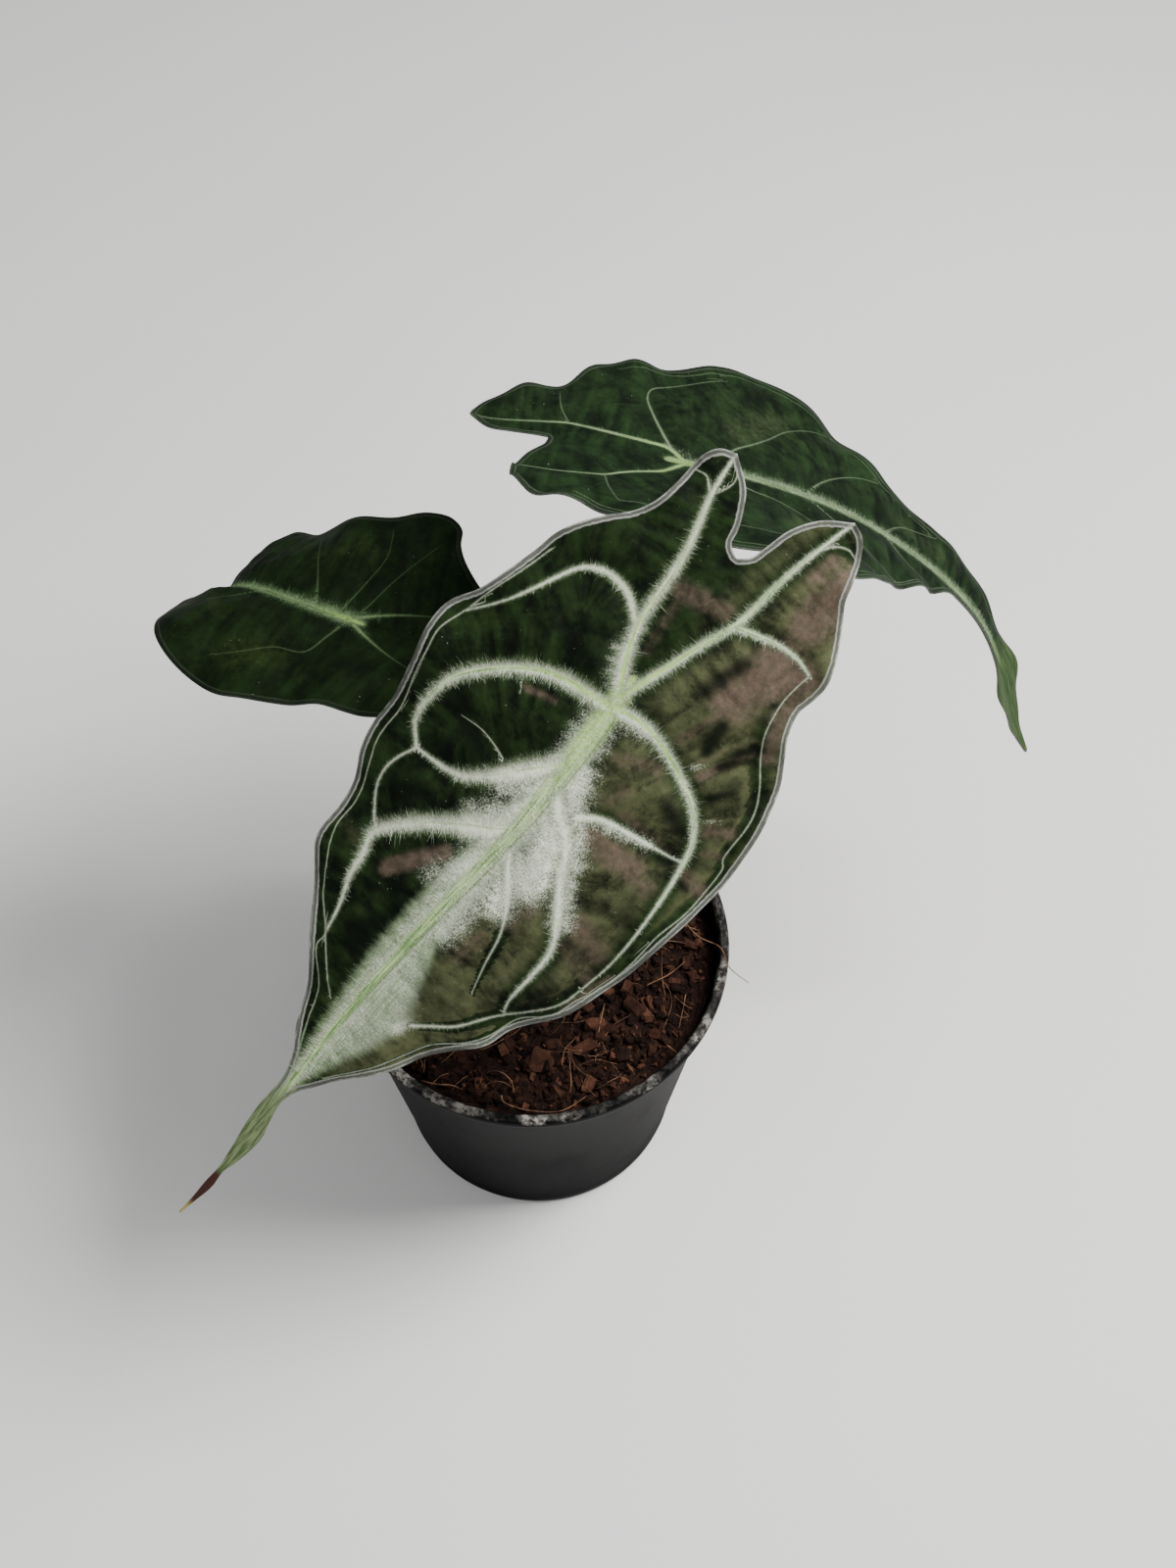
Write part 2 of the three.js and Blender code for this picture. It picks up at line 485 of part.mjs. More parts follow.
class Blade {
  constructor(leaf) {
    this.leaf = leaf;
    this.spine = this.walk();
  }

  // Frames every wayStep along the midrib, found by adding up the steps from the stalk's seat
  walk() {
    const { way, seat } = this.leaf;
    const first = way[0][0];
    const count = Math.round((way[way.length - 1][0] - first) / wayStep);
    const frames = [];
    const spot = new THREE.Vector3();
    for (let i = 0; i <= count; i += 1) {
      const along = first + i * wayStep;
      const bends = read(way, along);
      const [heading, pitch, bank] = bends.slice(0, 3).map(toRadians);
      const forward = new THREE.Vector3(
        Math.cos(pitch) * Math.cos(heading),
        Math.cos(pitch) * Math.sin(heading),
        Math.sin(pitch),
      );
      const up = new THREE.Vector3(
        -Math.sin(pitch) * Math.cos(heading),
        -Math.sin(pitch) * Math.sin(heading),
        Math.cos(pitch),
      );
      const side = up.clone().cross(forward);
      up.applyAxisAngle(forward, bank);
      side.applyAxisAngle(forward, bank);
      if (i > 0) {
        const middle = forward.clone().add(frames[i - 1].forward).multiplyScalar(wayStep / 2);
        spot.add(middle);
      }
      frames.push({ along, spot: spot.clone(), forward, side, up, folds: bends.slice(3) });
    }
    const home = frames.find((frame) => Math.abs(frame.along) < wayStep / 2).spot.clone();
    const shift = new THREE.Vector3(...seat).sub(home);
    for (const frame of frames) frame.spot.add(shift);
    return frames;
  }

  // The spot in space of a flat place, raised by lift along the surface's normal
  place(along, across, lift) {
    const { spine } = this;
    const { size } = this.leaf;
    const exact = THREE.MathUtils.clamp((along * size - spine[0].along) / wayStep, 0, spine.length - 1.001);
    const a = spine[Math.floor(exact)];
    const b = spine[Math.floor(exact) + 1];
    const share = exact - Math.floor(exact);
    const spot = a.spot.clone().lerp(b.spot, share);
    const side = a.side.clone().lerp(b.side, share).normalize();
    const up = a.up.clone().lerp(b.up, share).normalize();
    const folds = a.folds.map((value, k) => THREE.MathUtils.lerp(value, b.folds[k], share));
    const right = across >= 0;
    const reach = Math.abs(across) * size;
    const fold = toRadians(right ? folds[0] : folds[1]);
    const curl = toRadians(right ? folds[2] : folds[3]) / 10 || 1e-6;
    const lean = fold + curl * reach;
    const out = (Math.sin(lean) - Math.sin(fold)) / curl;
    const rise = (Math.cos(fold) - Math.cos(lean)) / curl;
    const sign = right ? 1 : -1;
    spot.addScaledVector(side, sign * (out - lift * Math.sin(lean)));
    return spot.addScaledVector(up, rise + lift * Math.cos(lean));
  }

  // Height of the quilted upper face: sunk along the veins, swelling between them
  quilt(along, across) {
    const spot = new THREE.Vector2(along, across);
    let nearest = Math.abs(across);
    if (along < 0) nearest = 1e3;
    const lines = [...this.leaf.veins];
    for (const side of ["right", "left"]) lines.push([[0, 0], ...this.leaf[side].rib]);
    for (const line of lines) {
      for (let i = 0; i + 1 < line.length; i += 1) {
        const a = new THREE.Vector2(...line[i]);
        const b = new THREE.Vector2(...line[i + 1]);
        const run = b.clone().sub(a);
        const u = THREE.MathUtils.clamp(spot.clone().sub(a).dot(run) / run.lengthSq(), 0, 1);
        nearest = Math.min(nearest, a.addScaledVector(run, u).distanceTo(spot));
      }
    }
    return quiltHeight * (1 - Math.exp(-((nearest / quiltReach) ** 2)) - quiltRest);
  }

  // Strips of flat places, from the midrib and the two lobe ribs out to the rim and in to the notch
  strips() {
    const { leaf } = this;
    const strips = [];
    for (const [key, sign] of [["right", 1], ["left", -1]]) {
      const half = leaf[key];
      const spine = [...leaf.midrib.map((along) => [along, 0]), ...half.rib];
      const start = leaf.midrib.length - 1;
      const notch = [[0, 0], ...leaf.seam.map((along) => [along, 0]), ...half.notch];
      strips.push({ inner: spine, outer: half.rim, columns: bladeColumns, sign: -sign, wavy: true });
      strips.push({ inner: spine.slice(start), outer: notch, columns: notchColumns, sign });
    }
    return strips;
  }

  geometry(grow = 0) {
    const { leaf } = this;
    const places = [];
    const found = new Map();
    const faces = [];
    const vertex = (along, across, wave) => {
      const key = `${along.toFixed(4)} ${across.toFixed(4)}`;
      if (!found.has(key)) {
        found.set(key, places.length);
        places.push([along, across, wave]);
      }
      return found.get(key);
    };
    const addFace = (a, b, c, sign) => {
      if (a === b || b === c || c === a) return;
      faces.push(sign > 0 ? [a, b, c] : [a, c, b]);
    };
    for (const { inner, outer, columns, sign, wavy } of this.strips()) {
      const rows = inner.map(([along, across], row) => {
        const line = [];
        for (let column = 0; column <= columns; column += 1) {
          const v = column / columns;
          const wave = wavy ? leaf.wave * v ** 3 * Math.sin(rowsToWave * row + sign) : 0;
          const a = THREE.MathUtils.lerp(along, outer[row][0], v);
          const b = THREE.MathUtils.lerp(across, outer[row][1], v);
          line.push(vertex(a, b, Math.abs(b) > 5 ? wave : 0));
        }
        return line;
      });
      for (let row = 0; row + 1 < rows.length; row += 1) {
        for (let column = 0; column < columns; column += 1) {
          const [a, b] = [rows[row][column], rows[row + 1][column]];
          const [d, c] = [rows[row][column + 1], rows[row + 1][column + 1]];
          addFace(a, b, c, sign);
          addFace(a, c, d, sign);
        }
      }
    }

    // The lower face is the upper one moved down, deeper along the midrib, and a wall closes the rim
    const positions = [];
    const place = (i, lower) => {
      const [along, across, wave] = places[i];
      const taper = THREE.MathUtils.clamp((taperEnd - along) / taperEnd, leastTaper, 1);
      const onMidrib = along > -4 ? Math.exp(-((across / midribWidth) ** 2)) : 0;
      const rib = midribDepth * taper * onMidrib;
      const height = this.quilt(along, across) + wave;
      const lift = lower ? -bladeThickness / 2 - rib - grow : bladeThickness / 2 + grow;
      positions.push(...this.place(along, across, height + lift).toArray());
    };
    for (let i = 0; i < places.length; i += 1) place(i, false);
    for (let i = 0; i < places.length; i += 1) place(i, true);
    const index = [];
    const edges = new Map();
    for (const [a, b, c] of faces) {
      index.push(a, b, c, a + places.length, c + places.length, b + places.length);
      for (const [p, q] of [[a, b], [b, c], [c, a]]) {
        if (edges.has(`${q} ${p}`)) edges.delete(`${q} ${p}`);
        else edges.set(`${p} ${q}`, [p, q]);
      }
    }
    for (const [p, q] of edges.values()) {
      const [lowP, lowQ] = [p + places.length, q + places.length];
      index.push(p, lowP, lowQ, p, lowQ, q);
    }
    const geometry = new THREE.BufferGeometry();
    geometry.setAttribute("position", new THREE.Float32BufferAttribute(positions, 3));
    geometry.setIndex(index);
    return geometry;
  }
}

const plant = new THREE.Group();
plant.add(named("pot", potGeometry(), materials.plastic));
plant.add(named("soil", soilGeometry(), materials.soil));
plant.add(named("crown", crownGeometry(), materials.stem));
for (const key of Object.keys(leaves)) {
  const leafMaterial = key === "front" ? materials.frontLeaf : materials.darkLeaf;
  plant.add(named(`stalk_${key}`, stalkGeometry(key), materials.stem));
  plant.add(named(`leaf_${key}`, new Blade(leaves[key]).geometry(), leafMaterial));
}

export default plant;
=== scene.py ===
import math
import random

import bmesh
import bpy
import numpy as np
from mathutils import Matrix, Vector, noise


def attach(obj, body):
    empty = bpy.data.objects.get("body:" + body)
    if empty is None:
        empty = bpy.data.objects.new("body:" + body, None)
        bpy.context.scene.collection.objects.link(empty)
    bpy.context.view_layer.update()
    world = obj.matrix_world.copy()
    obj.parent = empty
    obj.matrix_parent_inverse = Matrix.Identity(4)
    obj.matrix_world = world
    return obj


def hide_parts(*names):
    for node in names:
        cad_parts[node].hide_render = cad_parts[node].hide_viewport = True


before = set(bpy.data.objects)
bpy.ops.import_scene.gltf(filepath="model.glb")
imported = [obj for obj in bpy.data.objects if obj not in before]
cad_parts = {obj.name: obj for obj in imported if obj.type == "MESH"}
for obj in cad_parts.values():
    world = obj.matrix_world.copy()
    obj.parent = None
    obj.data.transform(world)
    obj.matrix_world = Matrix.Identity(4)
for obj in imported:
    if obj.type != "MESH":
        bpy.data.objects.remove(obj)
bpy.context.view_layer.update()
mm = 0.001


# Camera, at the angle and distance the plant was seen from

cameraSetup = {"lens": 50, "filmHeight": 36, "target": (14.7, 49.2, 90), "distance": 608, "elevation": 58}


def linkedObject(name, data):
    made = bpy.data.objects.new(name, data)
    bpy.context.scene.collection.objects.link(made)
    return made


def makeCamera():
    data = bpy.data.cameras.new("camera")
    data.lens = cameraSetup["lens"]
    data.sensor_fit = "VERTICAL"
    data.sensor_height = cameraSetup["filmHeight"]
    data.clip_start = 0.01
    camera = linkedObject("camera", data)
    tilt = math.radians(cameraSetup["elevation"])
    back = Vector((0, -math.cos(tilt), math.sin(tilt)))
    camera.location = (Vector(cameraSetup["target"]) + back * cameraSetup["distance"]) * mm
    camera.rotation_euler = (math.pi / 2 - tilt, 0, 0)
    bpy.context.scene.camera = camera


makeCamera()
print("camera placed")


# Small helpers for materials


def colour(red, green, blue):
    # screen values from 0 to 255, turned into the light values that shaders work in
    parts = []
    for part in (red, green, blue):
        share = part / 255
        parts.append(share / 12.92 if share <= 0.04045 else ((share + 0.055) / 1.055) ** 2.4)
    return (*parts, 1.0)


class Finish:
    # a material and its node tree, with short ways to add and join nodes

    def __init__(self, name):
        self.material = bpy.data.materials.new(name)
        self.material.use_nodes = True
        self.tree = self.material.node_tree
        self.tree.nodes.clear()

    def add(self, kind, inputs=None, **settings):
        made = self.tree.nodes.new(kind)
        for key, value in settings.items():
            setattr(made, key, value)
        for key, value in (inputs or {}).items():
            if isinstance(value, bpy.types.NodeSocket):
                self.tree.links.new(value, made.inputs[key])
            else:
                made.inputs[key].default_value = value
        return made

    def calc(self, operation, a, b=0.0):
        return self.add("ShaderNodeMath", {0: a, 1: b}, operation=operation).outputs[0]

    def plus(self, first, *others):
        for other in others:
            first = self.calc("ADD", first, other)
        return first

    def times(self, first, *others):
        for other in others:
            first = self.calc("MULTIPLY", first, other)
        return first

    def lean(self, value, gain):
        # how far a noise value is from its middle, times a gain
        return self.times(self.calc("SUBTRACT", value, 0.5), gain)

    def rise(self, value, low, high):
        inputs = {"Value": value, "From Min": low, "From Max": high}
        return self.add("ShaderNodeMapRange", inputs, interpolation_type="SMOOTHSTEP").outputs["Result"]

    def fall(self, value, low, high):
        return self.calc("SUBTRACT", 1.0, self.rise(value, low, high))

    def mix(self, share, a, b):
        # a plain tuple is a screen colour from 0 to 255
        a, b = (colour(*side) if isinstance(side, tuple) else side for side in (a, b))
        return self.add("ShaderNodeMix", {0: share, 6: a, 7: b}, data_type="RGBA").outputs[2]

    def mixNumber(self, share, a, b):
        return self.add("ShaderNodeMix", {0: share, 2: a, 3: b}, data_type="FLOAT").outputs[0]

    def noise(self, place, scale, detail=2.0, roughness=0.5, distortion=0.0):
        inputs = {
            "Vector": place,
            "Scale": scale,
            "Detail": detail,
            "Roughness": roughness,
            "Distortion": distortion,
        }
        return self.add("ShaderNodeTexNoise", inputs).outputs[0]

    def strands(self, first, second, scales, detail, roughness=0.5):
        # noise over two values, each drawn out by its own scale
        drawn = {0: self.times(first, scales[0]), 1: self.times(second, scales[1])}
        return self.noise(self.add("ShaderNodeCombineXYZ", drawn).outputs[0], 1.0, detail, roughness)

    def stretch(self, place, scale):
        return self.add("ShaderNodeMapping", {"Vector": place, "Scale": scale}).outputs[0]

    def objectPlace(self):
        return self.add("ShaderNodeTexCoord").outputs["Object"]

    def attribute(self, name):
        return self.add("ShaderNodeAttribute", attribute_name=name).outputs["Vector"]

    def parts(self, vector):
        return self.add("ShaderNodeSeparateXYZ", {0: vector}).outputs[:3]

    def ramp(self, value, stops):
        made = self.add("ShaderNodeValToRGB", {"Fac": value})
        ramp = made.color_ramp
        while len(ramp.elements) < len(stops):
            ramp.elements.new(0.5)
        for element, (spot, shade) in zip(ramp.elements, stops):
            element.position = spot
            element.color = colour(*shade)
        return made.outputs["Color"]

    def bump(self, height, distance, strength):
        inputs = {"Height": height, "Distance": distance, "Strength": strength}
        return self.add("ShaderNodeBump", inputs).outputs["Normal"]

    def done(self, base, roughness, normal=None, specular=0.5):
        inputs = {"Base Color": base, "Roughness": roughness, "Specular IOR Level": specular}
        if normal is not None:
            inputs["Normal"] = normal
        shader = self.add("ShaderNodeBsdfPrincipled", inputs)
        self.add("ShaderNodeOutputMaterial", {"Surface": shader.outputs[0]})
        return self.material


def newPiece(name, bm, materials, slotName, *nodes, smooth=True):
    # a finished mesh becomes a piece that rides on the one body and stands for its nodes
    mesh = bpy.data.meshes.new(name)
    bm.to_mesh(mesh)
    bm.free()
    piece = linkedObject(name, mesh)
    for material in materials:
        mesh.materials.append(material)
    mesh.polygons.foreach_set("use_smooth", [smooth] * len(mesh.polygons))
    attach(piece, "root")
    if nodes:
        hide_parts(*nodes)
    return piece


def meshPlaces(mesh):
    places = np.empty(len(mesh.vertices) * 3)
    mesh.vertices.foreach_get("co", places)
    return places.reshape(-1, 3)


def movePlaces(mesh, places):
    mesh.vertices.foreach_set("co", (places * mm).ravel())
    mesh.update()


def vectorLayer(mesh, name, values):
    layer = mesh.attributes.new(name, "FLOAT_VECTOR", "POINT")
    layer.data.foreach_set("vector", values.astype(np.float32).ravel())


def spinProfile(bm, profile, sides, cuts=0):
    # a profile of radius and height in millimetres becomes one closed round body
    line = [bm.verts.new((radius * mm, 0, height * mm)) for radius, height in profile]
    edges = [bm.edges.new(pair) for pair in zip(line, line[1:])]
    if cuts:
        bmesh.ops.subdivide_edges(bm, edges=edges[1:], cuts=cuts)
    bmesh.ops.spin(
        bm,
        geom=bm.verts[:] + bm.edges[:],
        cent=(0, 0, 0),
        axis=(0, 0, 1),
        angle=2 * math.pi,
        steps=sides,
        use_merge=True,
    )
    bmesh.ops.remove_doubles(bm, verts=bm.verts, dist=1e-6)
    bmesh.ops.recalc_face_normals(bm, faces=bm.faces)


def smoothRows(table, x):
    # smooth reading of rows whose first column is the place to read at
    table = np.asarray(table, float)
    keys, values = table[:, 0], table[:, 1:]
    slopes = np.empty_like(values)
    slopes[1:-1] = (values[2:] - values[:-2]) / (keys[2:] - keys[:-2])[:, None]
    slopes[0] = (values[1] - values[0]) / (keys[1] - keys[0])
    slopes[-1] = (values[-1] - values[-2]) / (keys[-1] - keys[-2])
    x = np.clip(np.asarray(x, float), keys[0], keys[-1])
    i = np.clip(np.searchsorted(keys, x, side="right") - 1, 0, len(keys) - 2)
    span = (keys[i + 1] - keys[i])[:, None]
    u = (x - keys[i])[:, None] / span
    start = (2 * u**3 - 3 * u**2 + 1) * values[i] + (u**3 - 2 * u**2 + u) * span * slopes[i]
    end = (3 * u**2 - 2 * u**3) * values[i + 1] + (u**3 - u**2) * span * slopes[i + 1]
    return start + end


def smoothPath(points, t):
    return smoothRows([(i, *point) for i, point in enumerate(points)], t)


# Pot: black moulded plastic with a rolled lip and a mineral crust on it

potShape = {
    "height": 90,
    "rimRadius": 52.5,
    "baseRadius": 39,
    "wall": 1.2,
    "lipWidth": 2.6,
    "lipHeight": 4.4,
    "lipOverlap": 0.6,
    "floor": 1.6,
    "corner": 1,
    "sides": 160,
    "holes": 6,
    "holeRadius": 3.6,
    "holeCircle": 28,
    "holeDepth": 12,
    "edgeRound": 0.12,
    "sharpFrom": 40,
    "smoothUpTo": 32,
}
wallTop = potShape["height"] - potShape["lipHeight"]
outerTop = potShape["rimRadius"] - potShape["lipWidth"] + potShape["lipOverlap"]
innerTop = outerTop - potShape["wall"]
innerBase = potShape["baseRadius"] - potShape["wall"]


def potInnerRadius(height):
    floor, corner = potShape["floor"], potShape["corner"]
    share = (height - floor - corner) / (wallTop - floor - corner)
    return innerBase + (innerTop - innerBase) * share


def potPlastic():
    look = Finish("black pot plastic with mineral crust")
    place = look.objectPlace()
    x, y, z = look.parts(place)
    grain = look.noise(place, 2600, 2)
    cloud = look.noise(place, 38, 4, 0.6)
    patch = look.noise(place, 150, 4, 0.62)
    crumbs = look.noise(place, 620, 4, 0.7)
    dust = look.noise(place, 900, 3, 0.6)
    # the crust keeps to the lip, and is strongest at the front left and on the right
    onLip = look.rise(look.plus(z, look.lean(patch, 0.007)), 0.0882, 0.0898)
    frontLeft = look.fall(look.plus(y, look.times(x, 0.5)), -0.052, -0.012)
    where = look.times(look.calc("MAXIMUM", frontLeft, look.rise(x, 0.018, 0.048)), 0.14)
    crust = look.rise(look.plus(patch, where, look.lean(crumbs, 0.5)), 0.55, 0.78)
    topLine = look.times(look.rise(z, 0.0893, 0.0898), look.rise(look.plus(patch, where), 0.4, 0.64), 0.4)
    crust = look.calc("MAXIMUM", look.times(crust, onLip), topLine)
    crust = look.times(crust, look.plus(look.times(look.rise(cloud, 0.42, 0.58), 0.75), 0.25))
    haze = look.times(look.rise(cloud, 0.45, 0.75), 0.22)
    black = look.mix(haze, (7, 7, 8), (26, 25, 26))
    dusty = look.mix(look.times(look.rise(dust, 0.7, 0.75), 0.5), black, (70, 46, 34))
    crustTone = look.mix(look.rise(crumbs, 0.35, 0.65), (74, 69, 64), (170, 165, 158))
    crusted = look.mix(crust, dusty, crustTone)
    # painted highlight: the lowest 6 mm of the pot is lightened to grey in cloudy patches, along the edge of
    # the foot
    low = look.times(look.fall(z, 0.0, 0.006), look.rise(cloud, 0.45, 0.7), 0.35)
    height = look.plus(look.times(grain, 0.25), look.times(crust, look.plus(crumbs, 0.6)))
    return look.done(
        look.mix(low, crusted, (96, 92, 88)),
        look.plus(look.mixNumber(crust, 0.45, 0.9), look.times(haze, 0.4)),
        look.bump(height, 0.00018, 0.6),
        0.03,
    )


def makePot():
    base = potShape["baseRadius"]
    rim = potShape["rimRadius"]
    top = potShape["height"]
    bm = bmesh.new()
    profile = [
        (0, 0.9),
        (base - 7, 0.9),
        (base - 5.6, 0.0),
        (base - 1.2, 0),
        (base - 0.3, 0.4),
        (base + 0.05, 1.4),
        (base + 0.55, 4.2),
        (base + 0.35, 4.9),
        (outerTop - 0.95, wallTop - 4.2),
        (outerTop - 0.35, wallTop - 3.6),
        (outerTop - 0.1, wallTop - 0.4),
        (rim - 0.9, wallTop + 0.1),
        (rim - 0.25, wallTop + 0.55),
        (rim, wallTop + 1.5),
        (rim, top - 1.5),
        (rim - 0.3, top - 0.6),
        (rim - 0.9, top - 0.08),
        (rim - 1.5, top),
        (rim - 2.1, top - 0.15),
        (rim - 2.55, top - 0.7),
        (innerTop + 0.1, wallTop + 1.4),
        (innerTop, wallTop),
        (innerBase, potShape["floor"] + potShape["corner"]),
        (innerBase - potShape["corner"], potShape["floor"]),
        (0, potShape["floor"]),
    ]
    spinProfile(bm, profile, potShape["sides"])
    sharp = [
        edge
        for edge in bm.edges
        if len(edge.link_faces) == 2 and edge.calc_face_angle(0) > math.radians(potShape["sharpFrom"])
    ]
    edgeRound = potShape["edgeRound"] * mm
    bmesh.ops.bevel(bm, geom=sharp, offset=edgeRound, segments=2, profile=0.5, affect="EDGES", material=-1)
    piece = newPiece("pot_body", bm, [potPlastic()], "pot_plastic", "pot")

    # drain holes are cut through the floor with one cutter
    cutters = bmesh.new()
    circle, radius = potShape["holeCircle"] * mm, potShape["holeRadius"] * mm
    for i in range(potShape["holes"]):
        angle = 2 * math.pi * i / potShape["holes"]
        bmesh.ops.create_cone(
            cutters,
            cap_ends=True,
            segments=32,
            radius1=radius,
            radius2=radius,
            depth=potShape["holeDepth"] * mm,
            matrix=Matrix.Translation((circle * math.cos(angle), circle * math.sin(angle), 0)),
        )
    cutterMesh = bpy.data.meshes.new("drainCutters")
    cutters.to_mesh(cutterMesh)
    cutters.free()
    cutter = linkedObject("drainCutters", cutterMesh)
    cut = piece.modifiers.new("drain holes", "BOOLEAN")
    cut.operation = "DIFFERENCE"
    cut.solver = "EXACT"
    cut.object = cutter
    view = bpy.context.evaluated_depsgraph_get()
    drilled = bpy.data.meshes.new_from_object(piece.evaluated_get(view))
    piece.modifiers.clear()
    old = piece.data
    piece.data = drilled
    drilled.name = "pot_body"
    bpy.data.meshes.remove(old)
    bpy.data.objects.remove(cutter)
    bpy.data.meshes.remove(cutterMesh)
    smoothByAngle(piece, potShape["smoothUpTo"])


def smoothByAngle(piece, degrees):
    # flat faces stay flat where they meet at more than this angle
    bm = bmesh.new()
    bm.from_mesh(piece.data)
    for face in bm.faces:
        face.smooth = True
    for edge in bm.edges:
        edge.smooth = len(edge.link_faces) == 2 and edge.calc_face_angle(0) < math.radians(degrees)
    bm.to_mesh(piece.data)
    bm.free()


makePot()
print("pot made")


# Soil: dark reddish-brown coir, from dust to coarse chips, with loose fibres

soilShape = {
    "level": 85.2,
    "sink": 1.6,
    "lumpDrop": 0.5,
    "seatGap": 0.3,
    "wallDepth": 3,
    "skirtDepth": 6,
    "footInset": 1.4,
    "wallRoom": 1.6,
    "rings": 78,
    "sides": 190,
    "coarse": {"count": 46, "small": 3.5, "large": 8, "room": 1, "wallRoom": 6.5},
    "chips": {"count": 760, "small": 1.5, "large": 4.6, "room": 1.2, "seed": 41},
    "crumbs": {"count": 3400, "small": 0.5, "large": 1.7, "room": 0.6, "seed": 17},
}
crownShape = {"place": (6, 10), "radius": 9, "bottom": 62, "top": 99, "sides": 120}


def soilHeight(x, y):
    swell = 1.1 * math.sin(x / 13 + 0.6) * math.cos(y / 11 - 0.4)
    clods = 0.7 * math.sin(x / 3.7 + y / 8.3) * math.sin(y / 4.1 - x / 9.7 + 1.2)
    away = (x - crownShape["place"][0]) ** 2 + (y - crownShape["place"][1]) ** 2
    return soilShape["level"] - soilShape["sink"] + swell + clods + 2.2 * math.exp(-away / 600)


def crumble(x, y):
    # fine lumps of the bed itself, a few millimetres across
    spot = Vector((x, y, 0))
    lumps = noise.noise(spot * 0.42) * 0.9 + noise.noise(spot * 1.1 + Vector((7, 3, 1))) * 0.55
    return lumps + noise.cell(spot * 0.55) * 0.5 - 0.5


def chance(index, kind):
    # the same uneven numbers that the solid's coarse chips come from
    value = math.sin(index * 12.9898 + kind * 78.233) * 43758.5453
    return value - math.floor(value)


def soilFinish():
    look = Finish("coir and bark soil")
    place = look.objectPlace()
    shade = look.parts(look.attribute("chipShade"))[0]
    fibre = look.noise(look.stretch(place, (1, 0.3, 1)), 1500, 3, 0.6)
    patch = look.noise(place, 260, 3, 0.6)
    tone = look.ramp(
        look.plus(shade, look.lean(patch, 0.5), look.lean(fibre, 0.4)),
        [
            (0.05, (9, 6, 5)),
            (0.3, (30, 18, 14)),
            (0.52, (52, 32, 24)),
            (0.72, (76, 49, 37)),
            (0.95, (118, 84, 64)),
        ],
    )
    return look.done(tone, 0.93, look.bump(look.plus(look.times(fibre, 0.6), patch), 0.0006, 0.8), 0.08)


def clearOfCrown(x, y, room):
    return math.hypot(x - crownShape["place"][0], y - crownShape["place"][1]) > crownShape["radius"] + room


def makeSoilBed(material):
    bm = bmesh.new()
    shadeLayer = bm.verts.layers.float_vector.new("chipShade")
    level, rings = soilShape["level"], soilShape["rings"]
    outer = potInnerRadius(level - soilShape["wallDepth"]) - soilShape["seatGap"]
    bottom = potShape["floor"] + soilShape["seatGap"]
    profile = [(0, bottom), (innerBase - soilShape["footInset"], bottom)]
    profile.append((outer, level - soilShape["skirtDepth"]))
    for ring in range(rings + 1):
        profile.append((outer * (1 - ring / rings), level))
    spinProfile(bm, profile, soilShape["sides"])
    for vertex in bm.verts:
        vertex[shadeLayer] = (0.22, 0, 0)
        if vertex.co.z > (level - 1) * mm:
            x, y = vertex.co.x / mm, vertex.co.y / mm
            lumps = crumble(x, y)
            vertex.co.z = (soilHeight(x, y) + lumps - soilShape["lumpDrop"]) * mm
            # the bed is lighter on its lumps and darker in its hollows
            vertex[shadeLayer] = (0.34 + 0.16 * lumps, 0, 0)
    newPiece("soil_bed", bm, [material], "coir_soil", "soil", smooth=False)


def onDisc(reach, turnShare, outShare):
    # an even spread of places over a disc, from two numbers between 0 and 1
    angle = 2 * math.pi * turnShare
    distance = reach * math.sqrt(outShare)
    return distance * math.cos(angle), distance * math.sin(angle)


def coarseSpots():
    # the biggest chips lie where the solid has them
    kind = soilShape["coarse"]
    reach = potInnerRadius(soilShape["level"]) - kind["wallRoom"]
    spots = []
    for i in range(kind["count"]):
        x, y = onDisc(reach, chance(i, 1), chance(i, 2))
        length = kind["small"] + (kind["large"] - kind["small"]) * chance(i, 3) ** 2
        if clearOfCrown(x, y, length / 2 + kind["room"]):
            size = (length, length * (0.45 + 0.25 * chance(i, 4)), 1.6 + 1.4 * chance(i, 5))
            turn = (0.9 * (chance(i, 6) - 0.5), 0.9 * (chance(i, 7) - 0.5), 2 * math.pi * chance(i, 8))
            spots.append(((x, y, soilHeight(x, y) + 0.35), size, turn, 0.4 + 0.3 * chance(i, 9)))
    return spots


def scatterSpots(kind):
    # places for small grains on the bed's lumps, clear of the crown and the wall
    dice = random.Random(kind["seed"])
    reach = potInnerRadius(soilShape["level"]) - soilShape["wallRoom"] - kind["large"] / 2
    spots = []
    while len(spots) < kind["count"]:
        x, y = onDisc(reach, dice.random(), dice.random())
        length = kind["small"] + (kind["large"] - kind["small"]) * dice.random() ** 1.8
        size = (length, length * dice.uniform(0.3, 0.8), length * dice.uniform(0.2, 0.55))
        turn = (dice.uniform(-0.7, 0.7), dice.uniform(-0.7, 0.7), dice.uniform(0, 2 * math.pi))
        lift = crumble(x, y) - soilShape["lumpDrop"] + dice.uniform(-0.1, 1.0)
        tone = dice.choice((0.14, 0.22, 0.3, 0.36, 0.42, 0.5, 0.64))
        if clearOfCrown(x, y, kind["room"] + length / 2):
            spots.append(((x, y, soilHeight(x, y) + lift), size, turn, tone))
    return spots


def chippedBlock(bm):
    bmesh.ops.create_cube(bm, size=1.0)
    bmesh.ops.bevel(bm, geom=bm.edges[:], offset=0.17, segments=1, profile=0.5, affect="EDGES", material=-1)


def roundGrain(bm):
    bmesh.ops.create_icosphere(bm, subdivisions=1, radius=0.55)


def thinCone(bm):
    bmesh.ops.create_cone(bm, cap_ends=True, segments=3, radius1=1, radius2=0, depth=1)


